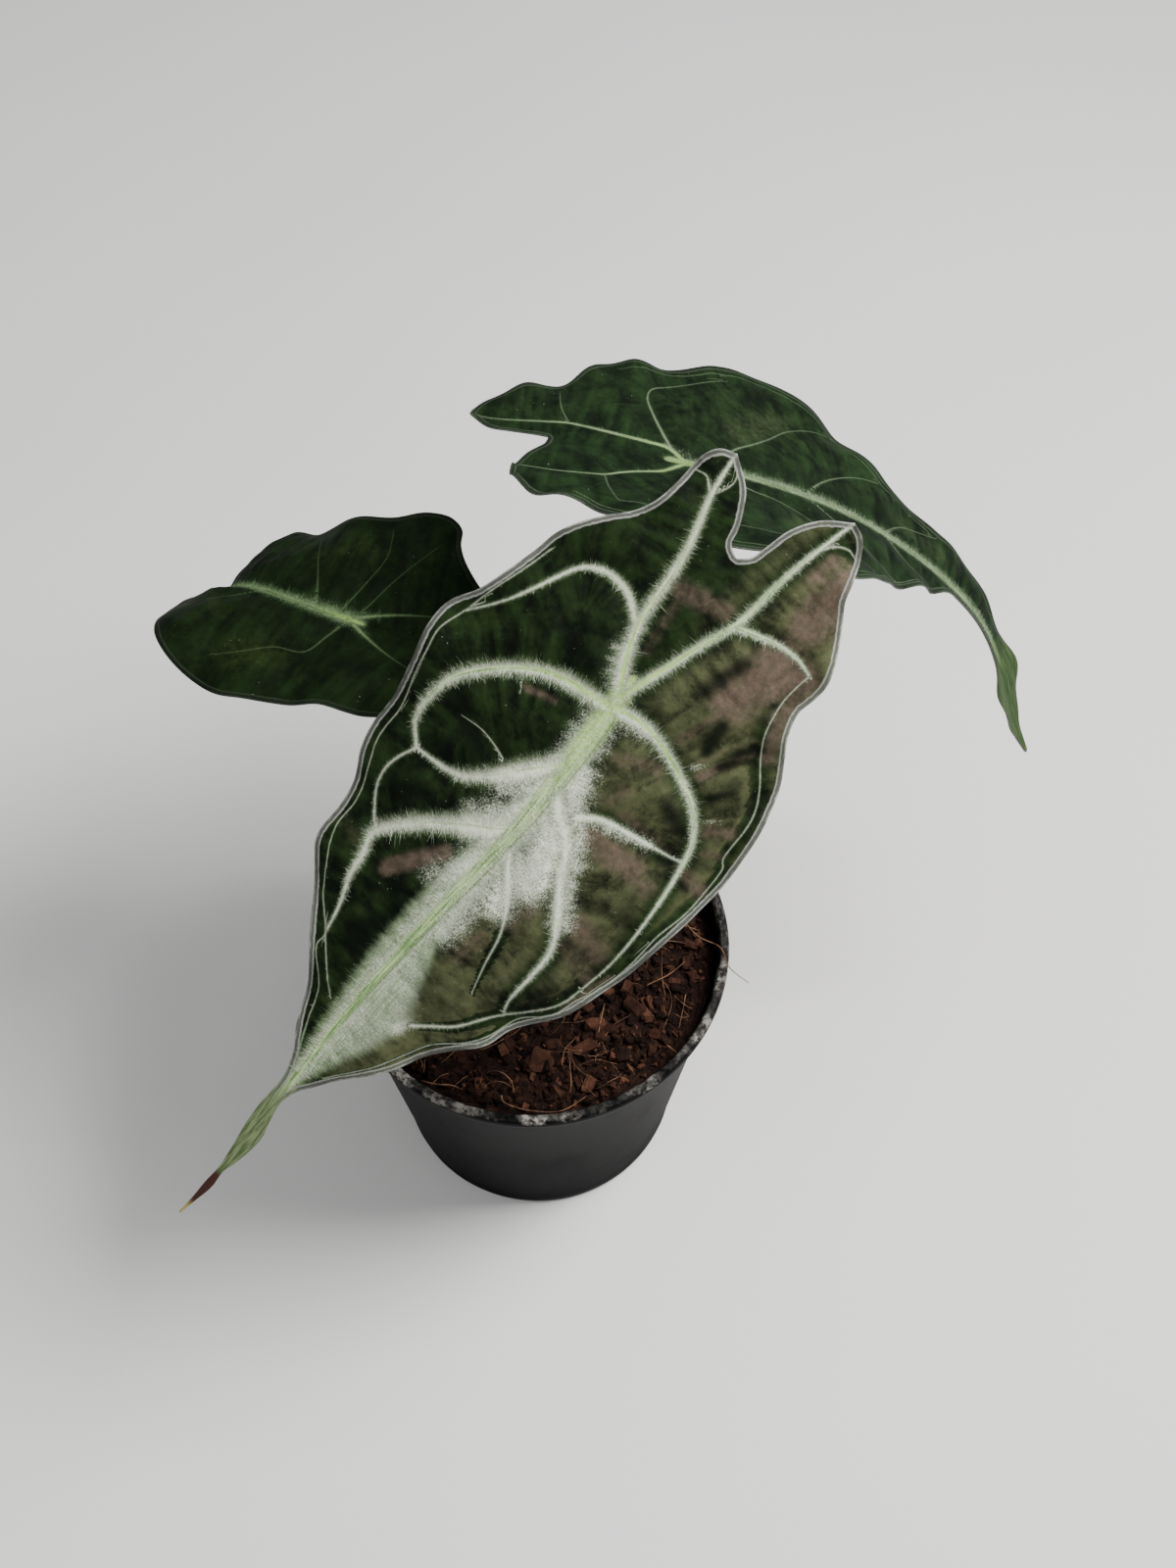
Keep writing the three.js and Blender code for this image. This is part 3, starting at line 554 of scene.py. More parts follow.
def copies(shape, count):
    # one shape, doubled until there are enough of it, each with its own run of vertices
    single = bmesh.new()
    shape(single)
    mesh = bpy.data.meshes.new("one shape")
    single.to_mesh(mesh)
    single.free()
    bm = bmesh.new()
    bm.from_mesh(mesh)
    bpy.data.meshes.remove(mesh)
    sizes = len(bm.verts), len(bm.edges), len(bm.faces)
    made = 1
    while made < count:
        more = min(made, count - made)
        geom = []
        for elements, each in zip((bm.verts, bm.edges, bm.faces), sizes):
            elements.ensure_lookup_table()
            geom += elements[: more * each]
        bmesh.ops.duplicate(bm, geom=geom)
        made += more
    return bm


def turnMatrices(turns):
    x, y, z = turns.T
    one, none = np.ones_like(x), np.zeros_like(x)
    aboutX = np.array([[one, none, none], [none, np.cos(x), -np.sin(x)], [none, np.sin(x), np.cos(x)]])
    aboutY = np.array([[np.cos(y), none, np.sin(y)], [none, one, none], [-np.sin(y), none, np.cos(y)]])
    aboutZ = np.array([[np.cos(z), -np.sin(z), none], [np.sin(z), np.cos(z), none], [none, none, one]])
    return np.einsum("ijn,jkn,kln->nil", aboutZ, aboutY, aboutX)


def makeGrains(name, shape, spots, wobble, material):
    # each spot is a place, a size, a turn and a tone
    mesh = newPiece(name, copies(shape, len(spots)), [material], "coir_soil", smooth=False).data
    centres, sizes, turns, tones = (np.array(values) for values in zip(*spots))
    dice = np.random.default_rng(len(spots))
    local = meshPlaces(mesh).reshape(len(spots), -1, 3)
    local = (local + dice.uniform(-wobble, wobble, local.shape)) * sizes[:, None, :]
    turned = np.einsum("nij,nvj->nvi", turnMatrices(turns), local)
    shades = np.zeros(local.shape)
    shades[:, :, 0] = tones[:, None] + dice.uniform(-0.06, 0.06, local.shape[:2])
    vectorLayer(mesh, "chipShade", shades)
    movePlaces(mesh, turned + centres[:, None, :])


soilMaterial = soilFinish()
makeSoilBed(soilMaterial)
makeGrains("soil_chips_coarse", chippedBlock, coarseSpots(), 0.09, soilMaterial)
makeGrains("soil_chips", chippedBlock, scatterSpots(soilShape["chips"]), 0.13, soilMaterial)
makeGrains("soil_crumbs", roundGrain, scatterSpots(soilShape["crumbs"]), 0.16, soilMaterial)
print("soil made")


# Coir fibres lying on the soil, and one that reaches over the pot's edge
# A route is its radius and its points, each with its height over the soil

fibreShape = {
    "radius": 0.15,
    "steps": 14,
    "fewest": 4,
    "sides": 5,
    "loose": 110,
    "room": 0.8,
    "wallRoom": 3,
    "seed": 7,
}
fibreRoutes = [
    (0.22, [(38.8, 12, 0.3), (43.8, 4, 2.6), (49.9, -1.9, 6.4), (52.3, -8, 6.3), (57.4, -11.5, 4.6)]),
    (0.2, [(19.1, -16.2, 0.8), (17.8, -22.8, 1.9), (16.5, -29.3, 0.9)]),
    (0.18, [(30.3, -11, 0.6), (35.9, -8.7, 2.2), (40.9, -3.1, 1)]),
    (0.16, [(40.7, -13.3, 0.5), (39.8, -18.2, 1.6), (38.7, -23.1, 0.6)]),
    (0.22, [(-7.8, -42.8, 1), (-6.5, -45, 1.4), (0.9, -47.2, 1.2), (7.7, -47.2, 1.5), (14.4, -42, 0.7)]),
    (0.24, [(-28.7, -39.4, 2.4), (-24.7, -40.4, 2.6), (-20.7, -40.3, 2), (-17.9, -41.1, 1.2)]),
    (0.18, [(-26, -40.3, 1.4), (-23.8, -38.3, 2), (-21.6, -36.7, 0.8)]),
    (0.18, [(35.5, -28.4, 1), (38.2, -31, 1.4)]),
]


def fibreFinish():
    look = Finish("dry coir fibre")
    place = look.objectPlace()
    tone = look.noise(place, 300, 3, 0.6)
    base = look.mix(look.rise(tone, 0.35, 0.65), (62, 39, 27), (128, 92, 66))
    return look.done(base, 0.8, look.bump(look.noise(place, 5000, 2), 0.0001, 0.4), 0.3)


def addTube(bm, points, radii, sides):
    # a ring at each point, bridged to the next; the rings turn with the route
    rings = []
    across = None
    for i, point in enumerate(points):
        ahead = points[min(i + 1, len(points) - 1)] - points[max(i - 1, 0)]
        ahead.normalize()
        if across is None:
            across = ahead.orthogonal().normalized()
        across = (across - ahead * across.dot(ahead)).normalized()
        turn = Matrix((across, ahead.cross(across), ahead)).transposed().to_4x4()
        spot = Matrix.Translation(point) @ turn
        ring = bmesh.ops.create_circle(bm, segments=sides, radius=radii[i], cap_ends=False, matrix=spot)
        rings.append(ring["verts"])
    for low, high in zip(rings, rings[1:]):
        for side in range(sides):
            following = (side + 1) % sides
            bm.faces.new((low[side], low[following], high[following], high[side]))
    bm.faces.new(list(reversed(rings[0])))
    bm.faces.new(rings[-1])


def looseRoute(dice):
    # a fibre that wanders over the bed, or nothing where it would leave it
    reach = potInnerRadius(soilShape["level"]) - fibreShape["wallRoom"]
    x, y = onDisc(reach, dice.random(), dice.random())
    heading = dice.uniform(0, 2 * math.pi)
    bend = dice.uniform(-0.16, 0.16)
    step = dice.uniform(0.4, 1.3)
    points = []
    for k in range(fibreShape["steps"]):
        height = soilHeight(x, y) + 0.6 + 0.9 * math.sin(math.pi * k / (fibreShape["steps"] - 1))
        points.append(Vector((x, y, height)) * mm)
        heading += bend + dice.uniform(-0.14, 0.14)
        x += step * math.cos(heading)
        y += step * math.sin(heading)
        if math.hypot(x, y) > reach or not clearOfCrown(x, y, fibreShape["room"]):
            break
    return points if len(points) > fibreShape["fewest"] else None


def makeFibres():
    bm = bmesh.new()
    for radius, route in fibreRoutes:
        points = []
        for x, y, over in smoothPath(route, np.linspace(0, len(route) - 1, 6 * len(route))):
            points.append(Vector((x, y, soilHeight(x, y) + over)) * mm)
        radii = [radius * mm * (1 - 0.5 * k / len(points)) for k in range(len(points))]
        addTube(bm, points, radii, fibreShape["sides"])
    dice = random.Random(fibreShape["seed"])
    for _ in range(fibreShape["loose"]):
        points = looseRoute(dice)
        if points:
            radius = fibreShape["radius"] * dice.uniform(0.45, 1.3) * mm
            radii = [radius * (1 - 0.6 * k / len(points)) for k in range(len(points))]
            addTube(bm, points, radii, fibreShape["sides"])
    bmesh.ops.recalc_face_normals(bm, faces=bm.faces)
    newPiece("soil_fibres", bm, [fibreFinish()], "coir_soil")


makeFibres()
print("fibres made")


# Leaves are laid out flat, then bent along the midrib's way in space
# Along runs down the midrib from the stalk to the drip tip and is negative in the two back lobes
# A way row is along, heading, pitch, bank, fold right, fold left, curl right, curl left
# A vein is its fringe half-width at start, middle and end, core half-width at start and end, and points
# A midrib fringe row is along and half-width, left and right in turn where the two differ
# Midrib ends are the half-widths of its green core by the stalk and by the tip
# A silver, shadow or bronze stroke is the along and across of its two ends, its half-width and its strength
# The olive of the right half is partly the leaf's own tone and partly painted light on the half that faces
# the lamp

frontLeaf = {
    "name": "leaf_front_blade",
    "node": "leaf_front",
    "slot": "leaf_veined",
    "seat": (21.6, -1.4, 207),
    "size": 1,
    "wave": 0.9,
    "steps": 8,
    "columns": 50,
    "way": [
        (-80, -141, -27, -27, -3, -5, -1.5, -1.5),
        (-30, -141, -31, -27, -1, -4, -1.5, -1.5),
        (0, -135, -34, -27, 0, -4, -1.5, -2),
        (25, -139, -36, -27, 0, -4, -1.5, -2),
        (50, -147, -38, -27, 0, -5, -1.5, -2),
        (80, -147, -40, -27, 0, -5, -1.5, -2),
        (105, -145, -42, -27, 0, -6, -1.5, -2),
        (125, -144, -45, -27, 0, -4, -1, -1),
        (155, -150, -47, -27, 0, 0, 0, 0),
        (180, -163, -49, -27, 0, 0, 0, 0),
    ],
    "midrib": [
        176.8, 171, 164, 157.4, 152, 143, 136, 131, 126, 121, 115, 108, 101, 94, 87, 81, 75, 69, 62, 54, 46,
        38, 30, 22, 14, 7, 0,
    ],
    "seam": [-5.5, -11, -17, -23, -29, -35, -40],
    "right": {
        "ribWidths": ((2.3, 1.8, 1.0), (0.75, 0.2)),
        "rim": [
            (176.9, 0.25), (170.5, 0.6), (163.5, 1.2), (157.4, 0.8), (152, 1.8), (143, 2.8), (136, 1.6),
            (131, 1.1), (126, 2.4), (121.5, 5), (115.5, 9), (109, 13.3), (102.5, 17.4), (95.5, 20.6),
            (88.5, 24.6), (82, 29), (75.5, 30.8), (69, 34), (62, 37.4), (54, 39.5), (45.5, 41.2), (36.5, 42),
            (28, 43.4), (20, 44.5), (12, 44), (4, 43.2), (-5, 41.2), (-12, 37.6), (-17, 34.9), (-23, 33.4),
            (-28.5, 34), (-33.5, 33.6), (-39.5, 31), (-45.5, 27), (-49.5, 23.8), (-54, 22.1), (-58.5, 20.2),
            (-61.9, 17.2), (-63.3, 13.6),
        ],
        "rib": [
            (-5.5, 2.1), (-11.5, 4.4), (-17.5, 6.2), (-23, 7.9), (-29, 9.9), (-35, 10.4), (-41, 10.6),
            (-46, 10.9), (-50.5, 11.4), (-55, 12.2), (-59, 12.8), (-63.3, 13.6),
        ],
        "notch": [(-42.6, 2.3), (-47, 3.2), (-52.5, 4.3), (-58.6, 7.8), (-63.3, 13.6)],
    },
    "left": {
        "ribWidths": ((3.2, 2.0, 0.9), (0.55, 0.2)),
        "rim": [
            (176.9, -0.25), (170.5, -0.5), (163.5, -0.9), (157.4, -0.8), (152, -1.3), (143, -2.4),
            (136, -2.8), (131, -2.6), (126, -2.3), (121, -3), (115, -5.2), (108, -8.8), (101.5, -12),
            (95.5, -16.1), (90, -20.6), (84.5, -25.2), (79, -29.5), (73.5, -33), (66, -34), (58.5, -35.9),
            (51.5, -39.2), (43.5, -41.2), (34, -41.4), (23, -42.5), (13, -44.2), (5.5, -43.7), (-1, -39.4),
            (-8, -36.4), (-13.5, -34.8), (-18.5, -33.6), (-23.5, -30.8), (-28.5, -27.1), (-33, -23.5),
            (-38, -21.3), (-43, -20.9), (-48, -21.2), (-52, -20.7), (-55, -18.8), (-56.6, -15.6),
        ],
        "rib": [
            (-6, -3.2), (-12, -5.5), (-18, -7), (-24, -7.5), (-29.5, -8.2), (-34.5, -9.3), (-39, -10.8),
            (-43.5, -12.5), (-46.5, -13.6), (-49.5, -14.3), (-53, -15), (-56.6, -15.6),
        ],
        "notch": [(-41.6, -2.9), (-44.5, -3.8), (-48, -5.6), (-52.5, -9), (-56.6, -15.6)],
    },
    "midribFringe": [
        (-4, 2.8, 2.8), (10, 3.6, 3.6), (30, 4.8, 4.8), (45, 5.8, 5), (60, 6.8, 5.2), (70, 6.9, 6.2),
        (80, 6.6, 9.4), (91, 5.8, 13.6), (100, 5, 12.4), (112, 3.8, 7.4), (124, 3, 3.4), (150, 1.6, 1.6),
        (177, 0.8, 0.8),
    ],
    "midribCore": [(-4, 1.9), (12, 2.4), (30, 2.1), (60, 1.6), (80, 1.2), (110, 0.8), (177, 0.4)],
    "midribEnds": (2.3, 1.0),
    "heartReach": 34,
    "veins": [
        ((1.9, 1.4, 0.6), (0.3, 0.12), [
            (-14.5, -6.3), (-18.5, -11.7), (-19.5, -15.8), (-19.3, -19.6), (-18, -22.6), (-15.5, -25.3),
            (-7.4, -29.8), (-2, -33.3), (5, -39.3),
        ]),
        ((3.1, 2.6, 1.3), (0.85, 0.2), [
            (3, -0.4), (3.3, -5.7), (3.9, -12), (5.5, -17.5), (8.8, -22.9), (14, -28.7), (19.5, -32.6),
            (26, -34.3), (31, -34.6), (36, -33.7), (40.9, -29.6),
        ]),
        ((4.4, 2.9, 1.1), (0.4, 0.1), [
            (19.3, -0.5), (23.7, -5), (30, -10.3), (36, -15.6), (39, -20.4), (40.9, -29.6),
        ]),
        ((0.9, 0.8, 1.0), (0.12, 0.12), [
            (40.9, -29.6), (46, -31.3), (51, -31.9), (56, -30.6), (60.5, -27.2), (63.5, -23.8),
        ]),
        ((5.0, 2.5, 0.7), (0.4, 0.1), [
            (36.6, 0), (40.5, -2.5), (46.5, -9.9), (54.4, -17.8), (63.5, -23.8), (69.4, -22.1),
            (75, -21.1), (82, -18.4), (89.5, -16.3),
        ]),
        ((0.5, 0.42, 0.36), (0.05, 0.05), [
            (-15.8, -32), (-9, -34.1), (-2, -37), (5.1, -39.5), (11.8, -41.5), (18, -40.9), (26, -39.9),
            (36, -38.3), (46, -37.8), (54.8, -34.6), (62, -32.1), (69, -31.2), (76, -27.5), (83.5, -22.8),
            (89.5, -16.4), (93.4, -15.6), (100, -9.2), (108, -6.1), (118.5, -2.2),
        ]),
        ((0.4, 0.45, 0.4), (0.05, 0.05), [(89.5, -16.4), (95.7, -9.8), (100.7, -5)]),
        ((2.9, 2.1, 1.0), (0.6, 0.25), [
            (2.3, 0.5), (1.7, 7.6), (3, 13.5), (6, 20.5), (10.4, 27.8), (16.7, 32.8), (24.5, 34.6),
            (32.6, 35.5),
        ]),
        ((1.0, 0.75, 0.6), (0.2, 0.08), [(32.6, 35.5), (41.3, 36.3), (48, 36.5), (55.3, 35.8)]),
        ((1.8, 1.3, 0.6), (0.1, 0.05), [(27, 9), (24, 14), (22.5, 25), (21.5, 33.5)]),
        ((2.8, 2.1, 0.6), (0.1, 0.05), [
            (24, 0), (28.8, 5.1), (33, 10.7), (40.4, 15.3), (46, 19.9), (53.4, 24.5), (61, 25.4),
            (69, 25.6), (74, 27),
        ]),
        ((1.8, 0.9, 0.4), (0.05, 0.05), [
            (43, 2), (46, 4.4), (52.2, 9.7), (59, 13.7), (67, 15.9), (75, 18.4),
        ]),
        ((1.2, 0.7, 0.55), (0.1, 0.06), [
            (92, 13), (88.4, 16.6), (83.6, 21.1), (76, 25.6), (69.6, 30), (62, 34.4), (55.3, 35.8),
        ]),
        ((0.45, 0.45, 0.4), (0.05, 0.05), [
            (-31.8, 29.4), (-23, 29), (-14.4, 30.3), (-8, 33.5), (0, 38.5), (6, 40.2), (14.8, 40.2),
            (18, 41.9), (28, 41.6), (36, 39.8), (44, 39.8), (52, 39), (58, 36.7), (65, 35), (71.5, 30.4),
            (79, 28.3), (85, 25.2), (91.5, 19.9), (99, 16.5), (107, 12.4), (118, 5.4),
        ]),
        ((1.9, 1.5, 0.9), (0.5, 0.2), [
            (-28.7, 10), (-30.5, 14.6), (-32.2, 19.7), (-32.8, 25), (-31.8, 29.4),
        ]),
        ((0.9, 0.6, 0.4), (0.1, 0.05), [(-54, 12.3), (-56.6, 14), (-58.1, 16.6), (-57.9, 18.5)]),
        ((0.6, 0.4, 0.3), (0.1, 0.05), [
            (-46, -13.5), (-50, -11.9), (-52.4, -11.9), (-54.4, -13.6), (-54.7, -16.9), (-52.6, -19),
        ]),
        ((0.8, 0.5, 0.3), (0.1, 0.05), [(-46.9, -14.7), (-48.6, -17.1), (-48, -19.9)]),
        ((0.7, 0.45, 0.3), (0.05, 0.05), [(27.5, -12.7), (26.2, -16.1), (25.3, -20.5), (25.7, -25.4)]),
        ((0.5, 0.35, 0.25), (0.05, 0.05), [(9.9, -19.7), (12.4, -18.2)]),
    ],
    "silver": [
        (20, 2.5, 31.7, 7.5, 4.4, 1.2), (31.7, 8, 45, 9.8, 5.4, 1.25), (27, 6, 36.3, 13, 4.4, 1.1),
        (36.3, 13.4, 47.2, 22, 3, 0.85), (43.8, 5.9, 54, 8.5, 4.4, 1), (52, 5, 68, 5, 3.4, 0.65),
        (26, 10, 22.5, 25, 1.8, 0.6), (25, -2, 31.4, -9, 4.2, 0.85), (35.6, -2.4, 44, -7.5, 4.8, 0.95),
        (50, -2.4, 60, -7, 3.6, 0.5), (3, 3, 3, 9, 2.6, 0.55),
        (8, 3, 20, 3, 2.4, 0.5), (8, -3, 22, -3, 2.6, 0.5), (-2, -3, -9, -6, 3, 0.4),
        (3.1, 22.5, -7.2, 31.3, 0.8, 0.42), (6.9, 27.1, 1.4, 33, 0.7, 0.4), (12, 31, 9, 35, 0.7, 0.35),
        (84, 12.5, 94, 11, 2.6, 0.8),
    ],
    "shadow": [
        (-8.7, 22, -2, 22.6, 2.1, 1), (-9, 31.2, -1, 27.4, 2, 1), (2, 32.8, 6.6, 29.4, 1.9, 1),
        (13.3, 22.9, 15.7, 28.3, 2.4, 0.9), (-24, 17, -13, 14, 2.4, 0.8), (20, 30, 18, 26, 1.6, 0.6),
        (33, 30, 38, 32, 2.4, 0.6), (60, 30, 66, 29, 2, 0.6), (82, 14, 92, 8, 3.4, 0.8),
        (70, -5, 84, -11, 4, 0.8), (30, -17, 24, -27, 4, 0.7), (48, -22, 52, -27, 3, 0.8),
    ],
    "bronze": [
        (-30.4, 23, -15, 20, 5.6, 1), (-31, 28.6, -21, 23.5, 4, 0.9), (0, 16.5, -10, 19.8, 1.6, 0.5),
        (4, 25, -8, 31, 1.3, 0.8), (3, 22, -11, 29.8, 0.8, 0.4), (-31, 31, -18, 30.5, 3, 0.6),
        (-18, 31.5, -9, 34.5, 2.4, 0.6), (13, 33.4, 10, 37.7, 2.2, 0.6), (17, 36, 15, 40, 1.5, 0.45),
        (11, 8, 8, 16, 2.6, 0.5), (20.4, 16.4, 21.2, 29.7, 1.8, 0.5), (19.7, 11.4, 15.4, 13.6, 2.4, 0.4),
        (28.6, 12.5, 28.8, 26, 3.5, 0.8), (28.6, 20, 29.7, 31, 3, 0.5), (23, 34.5, 23.7, 40.5, 2.4, 0.6),
        (67.3, -15.8, 54, -8.2, 2.1, 1), (58, -23.5, 53, -19, 1.8, 0.4), (67, -31.6, 68, -23.5, 2.5, 0.3),
        (10.6, -18, 9, -11, 1.2, 0.6), (70, 10, 63, 11, 3, 0.5), (56, 13.6, 49, 14.6, 2.4, 0.55),
        (45.4, 25.7, 47, 31.8, 4, 0.7), (49.7, 25, 52.6, 35, 3, 0.5), (61.4, 35.6, 49, 38.6, 1.2, 0.5),
        (-51.4, 21.6, -40, 21.9, 5, 0.95), (-53.7, 16.2, -48, 15.5, 2.4, 0.6),
        (-26.5, -5.4, -29.7, 6.2, 3, 0.6), (-12, -1.5, -24, -3, 2, 0.4),
    ],
    "litOliveRight": 0.75,
    "thinVeins": 0.36,
    "streaky": 0.6,
    "deadTip": 157.4,
    "tailStart": 121,
    "hairs": {"count": 26000, "length": 1.2, "radius": 0.036, "seed": 5},
    "tone": {
        "dark": (6, 11, 5),
        "green": (30, 46, 20),
        "litOlive": (91, 92, 65),
        "bronze": ((74, 66, 53), (92, 76, 68)),
        "fringe": ((80, 97, 66), (222, 227, 205)),
        "core": ((98, 132, 74), (182, 200, 148)),
        "heart": (156, 190, 96),
        "tail": ((74, 90, 56), (124, 135, 100)),
        "rim": ((84, 86, 78), (172, 172, 166)),
        "tip": ((66, 42, 37), (168, 150, 92)),
    },
}

backLeaf = {
    "name": "leaf_back_blade",
    "node": "leaf_back",
    "slot": "leaf_dark",
    "seat": (38.1, 66.8, 206),
    "size": 1.026,
    "wave": 0.8,
    "steps": 7,
    "columns": 42,
    "way": [
        (-70, -14, 6, -20, 7, 7, -1, -1),
        (-30, -12, 0, -20, 7, 7, -1, -1),
        (0, -2, -15, -20, 7, 7, -1, -1),
        (30, -1, -27, -18, 7, 7, -1, -1),
        (60, -6, -40, -14, 5, 5, -1, -1),
        (85, -9, -49, -8, 4, 4, -1, -1),
        (105, -14, -64, -4, 0, 0, 0, 0),
        (125, -18, -73, 0, 0, 0, 0, 0),
        (155, -18, -62, 0, 0, 0, 0, 0),
    ],
    "midrib": [
        151, 147, 141, 133, 126, 119, 111, 104, 97, 90, 83, 77, 71, 65, 59, 53, 47, 40, 33, 25, 18, 12, 6, 0,
    ],
    "seam": [-5, -10, -15, -20, -25, -29, -32.6],
    "right": {
        "ribWidths": ((1.4, 0.9, 0.5), (0.5, 0.15)),
        "rim": [
            (151.2, 0.5), (147, 1.2), (141, 2.2), (134, 5.4), (127, 7.4), (120, 7.8), (111.5, 6.4),
            (104, 5.2), (97, 6.2), (91, 9.4), (84, 11.6), (77, 12.7), (70, 14.2), (64, 16.4), (58.5, 19.4),
            (52.5, 24), (47, 28.6), (41.5, 32.4), (35, 37.8), (27, 42.9), (19.5, 45.2), (12, 43.4),
            (4, 40.4), (-4, 38.3), (-10, 37.4), (-16.5, 37.6), (-22, 36.3), (-26.5, 33.2), (-30, 29),
            (-33.5, 23), (-38, 20.8), (-43, 19.2), (-47, 15.4), (-51.2, 11.4), (-53.4, 6),
        ],
        "rib": [
            (-4, 4.6), (-9.5, 5.6), (-15, 6.2), (-20.5, 6.8), (-25.5, 7.3), (-30, 7.5), (-35, 6.7),
            (-40, 5.8), (-44.5, 5.1), (-49, 5), (-53.4, 6),
        ],
        "notch": [(-36, 0.3), (-42, 0.4), (-47.5, 1), (-53.4, 6)],
    },
    "left": {
        "ribWidths": ((1.4, 0.9, 0.5), (0.5, 0.15)),
        "rim": [
            (151.2, -0.5), (147, -1.4), (141, -3), (133, -5.2), (126, -6.4), (119, -6.6), (112, -4.2),
            (104, -2), (97, -1.8), (90, -2.2), (83, -3), (77.5, -5), (72, -8.6), (66, -12.8), (60, -17),
            (54, -21.2), (48, -25.4), (42, -29.6), (35.5, -33.7), (27, -37), (18.5, -38.9), (10, -39.4),
            (2, -39), (-6, -37.6), (-12, -35.8), (-17, -33.6), (-21, -31.5), (-25, -30.6), (-28.5, -30.1),
            (-31.5, -28.8), (-34.2, -26.3), (-36, -23), (-36.8, -20.3), (-37, -18.2), (-36.8, -16),
        ],
        "rib": [
            (-3, -3.6), (-6, -7), (-9, -8.6), (-12, -10), (-15, -11.9), (-18, -14.2), (-21, -15),
            (-24, -15.6), (-28, -16.3), (-32.5, -16.3), (-36.8, -16),
        ],
        "notch": [(-32.6, -4.4), (-33.8, -7.6), (-35.3, -11), (-36.8, -16)],
    },
    "midribFringe": [(-4, 2.2), (20, 3.2), (50, 2.8), (90, 2.4), (115, 1.6), (151, 0.8)],
    "midribCore": [(-4, 1.1), (30, 0.7), (90, 0.6), (120, 1.0), (151, 0.6)],
    "midribEnds": (0.8, 0.6),
    "heartReach": 24,
    "veins": [
        ((1.0, 0.7, 0.35), (0.1, 0.05), [
            (-3.5, 4.8), (-6.2, 12), (-8.8, 19.2), (-9.9, 23.6), (-8.4, 27.7), (-2, 31.6), (6.6, 35.1),
            (15, 39),
        ]),
        ((0.5, 0.4, 0.3), (0.05, 0.05), [(-29.3, 7.6), (-32.5, 12.5), (-33.9, 17)]),
        ((0.5, 0.4, 0.3), (0.05, 0.05), [(-18.1, -14.5), (-16.8, -22.9), (-14.8, -28.1)]),
        ((1.0, 0.6, 0.3), (0.1, 0.05), [
            (5, 0), (7.5, 2.9), (13.1, 9.7), (18.8, 14.1), (23.9, 18.4), (29.3, 23.5), (36.1, 26.8),
            (44.2, 28.5),
        ]),
        ((0.9, 0.5, 0.3), (0.1, 0.05), [
            (8, 0), (13.9, -6.6), (20.4, -8.6), (27.8, -13.3), (36, -20), (43, -25),
        ]),
        ((0.5, 0.4, 0.3), (0.05, 0.05), [
            (-14.8, -28.1), (1.1, -31.6), (8.2, -29.4), (14.2, -29.9), (30, -29),
        ]),
        ((0.8, 0.5, 0.3), (0.1, 0.05), [(30, 0), (38, 9), (48, 16), (56, 18)]),
        ((0.8, 0.5, 0.3), (0.1, 0.05), [(30, 0), (38, -9), (48, -18), (55, -19)]),
        ((0.8, 0.4, 0.3), (0.1, 0.05), [(54, 0), (62, 7), (74, 11)]),
        ((0.8, 0.4, 0.3), (0.1, 0.05), [(54, 0), (61, -7), (70, -9)]),
        ((0.35, 0.35, 0.3), (0.05, 0.05), [
            (-20, 33), (-10, 34.8), (4, 37.6), (12, 40.6), (20, 42), (30, 38), (42, 29.5), (52, 21.4),
            (60, 15.6), (72, 11.4),
        ]),
        ((0.35, 0.35, 0.3), (0.05, 0.05), [
            (-22, -28.6), (-10, -34), (8, -36.8), (24, -35.6), (38, -29.6), (54, -19), (66, -10.6),
        ]),
    ],
    "silver": [(0, 0, 4, 0, 3, 0.4), (0, 3, -4, 5, 2, 0.3)],
    "shadow": [(30, 6, 60, 6, 3, 0.5), (30, -6, 60, -6, 3, 0.5)],
    "bronze": [(14, 16, 26, 26, 6, 0.5), (24, -20, 36, -16, 5, 0.45), (60, 8, 76, 6, 4, 0.4)],
    "litOliveRight": 0.12,
    "thinVeins": 0.25,
    "streaky": 0.6,
    "deadTip": 149,
    "tailStart": 104,
    "hairs": {"count": 7000, "length": 0.8, "radius": 0.035, "seed": 6},
    "tone": {
        "dark": (10, 18, 9),
        "green": (28, 46, 23),
        "litOlive": (40, 52, 28),
        "bronze": ((40, 56, 30), (56, 60, 42)),
        "fringe": ((50, 67, 43), (140, 155, 126)),
        "core": ((70, 90, 56), (128, 146, 108)),
        "heart": (118, 144, 80),
        "tail": ((38, 56, 28), (62, 80, 44)),
        "rim": ((30, 38, 28), (70, 78, 64)),
        "tip": ((84, 90, 52), (150, 146, 92)),
    },
}

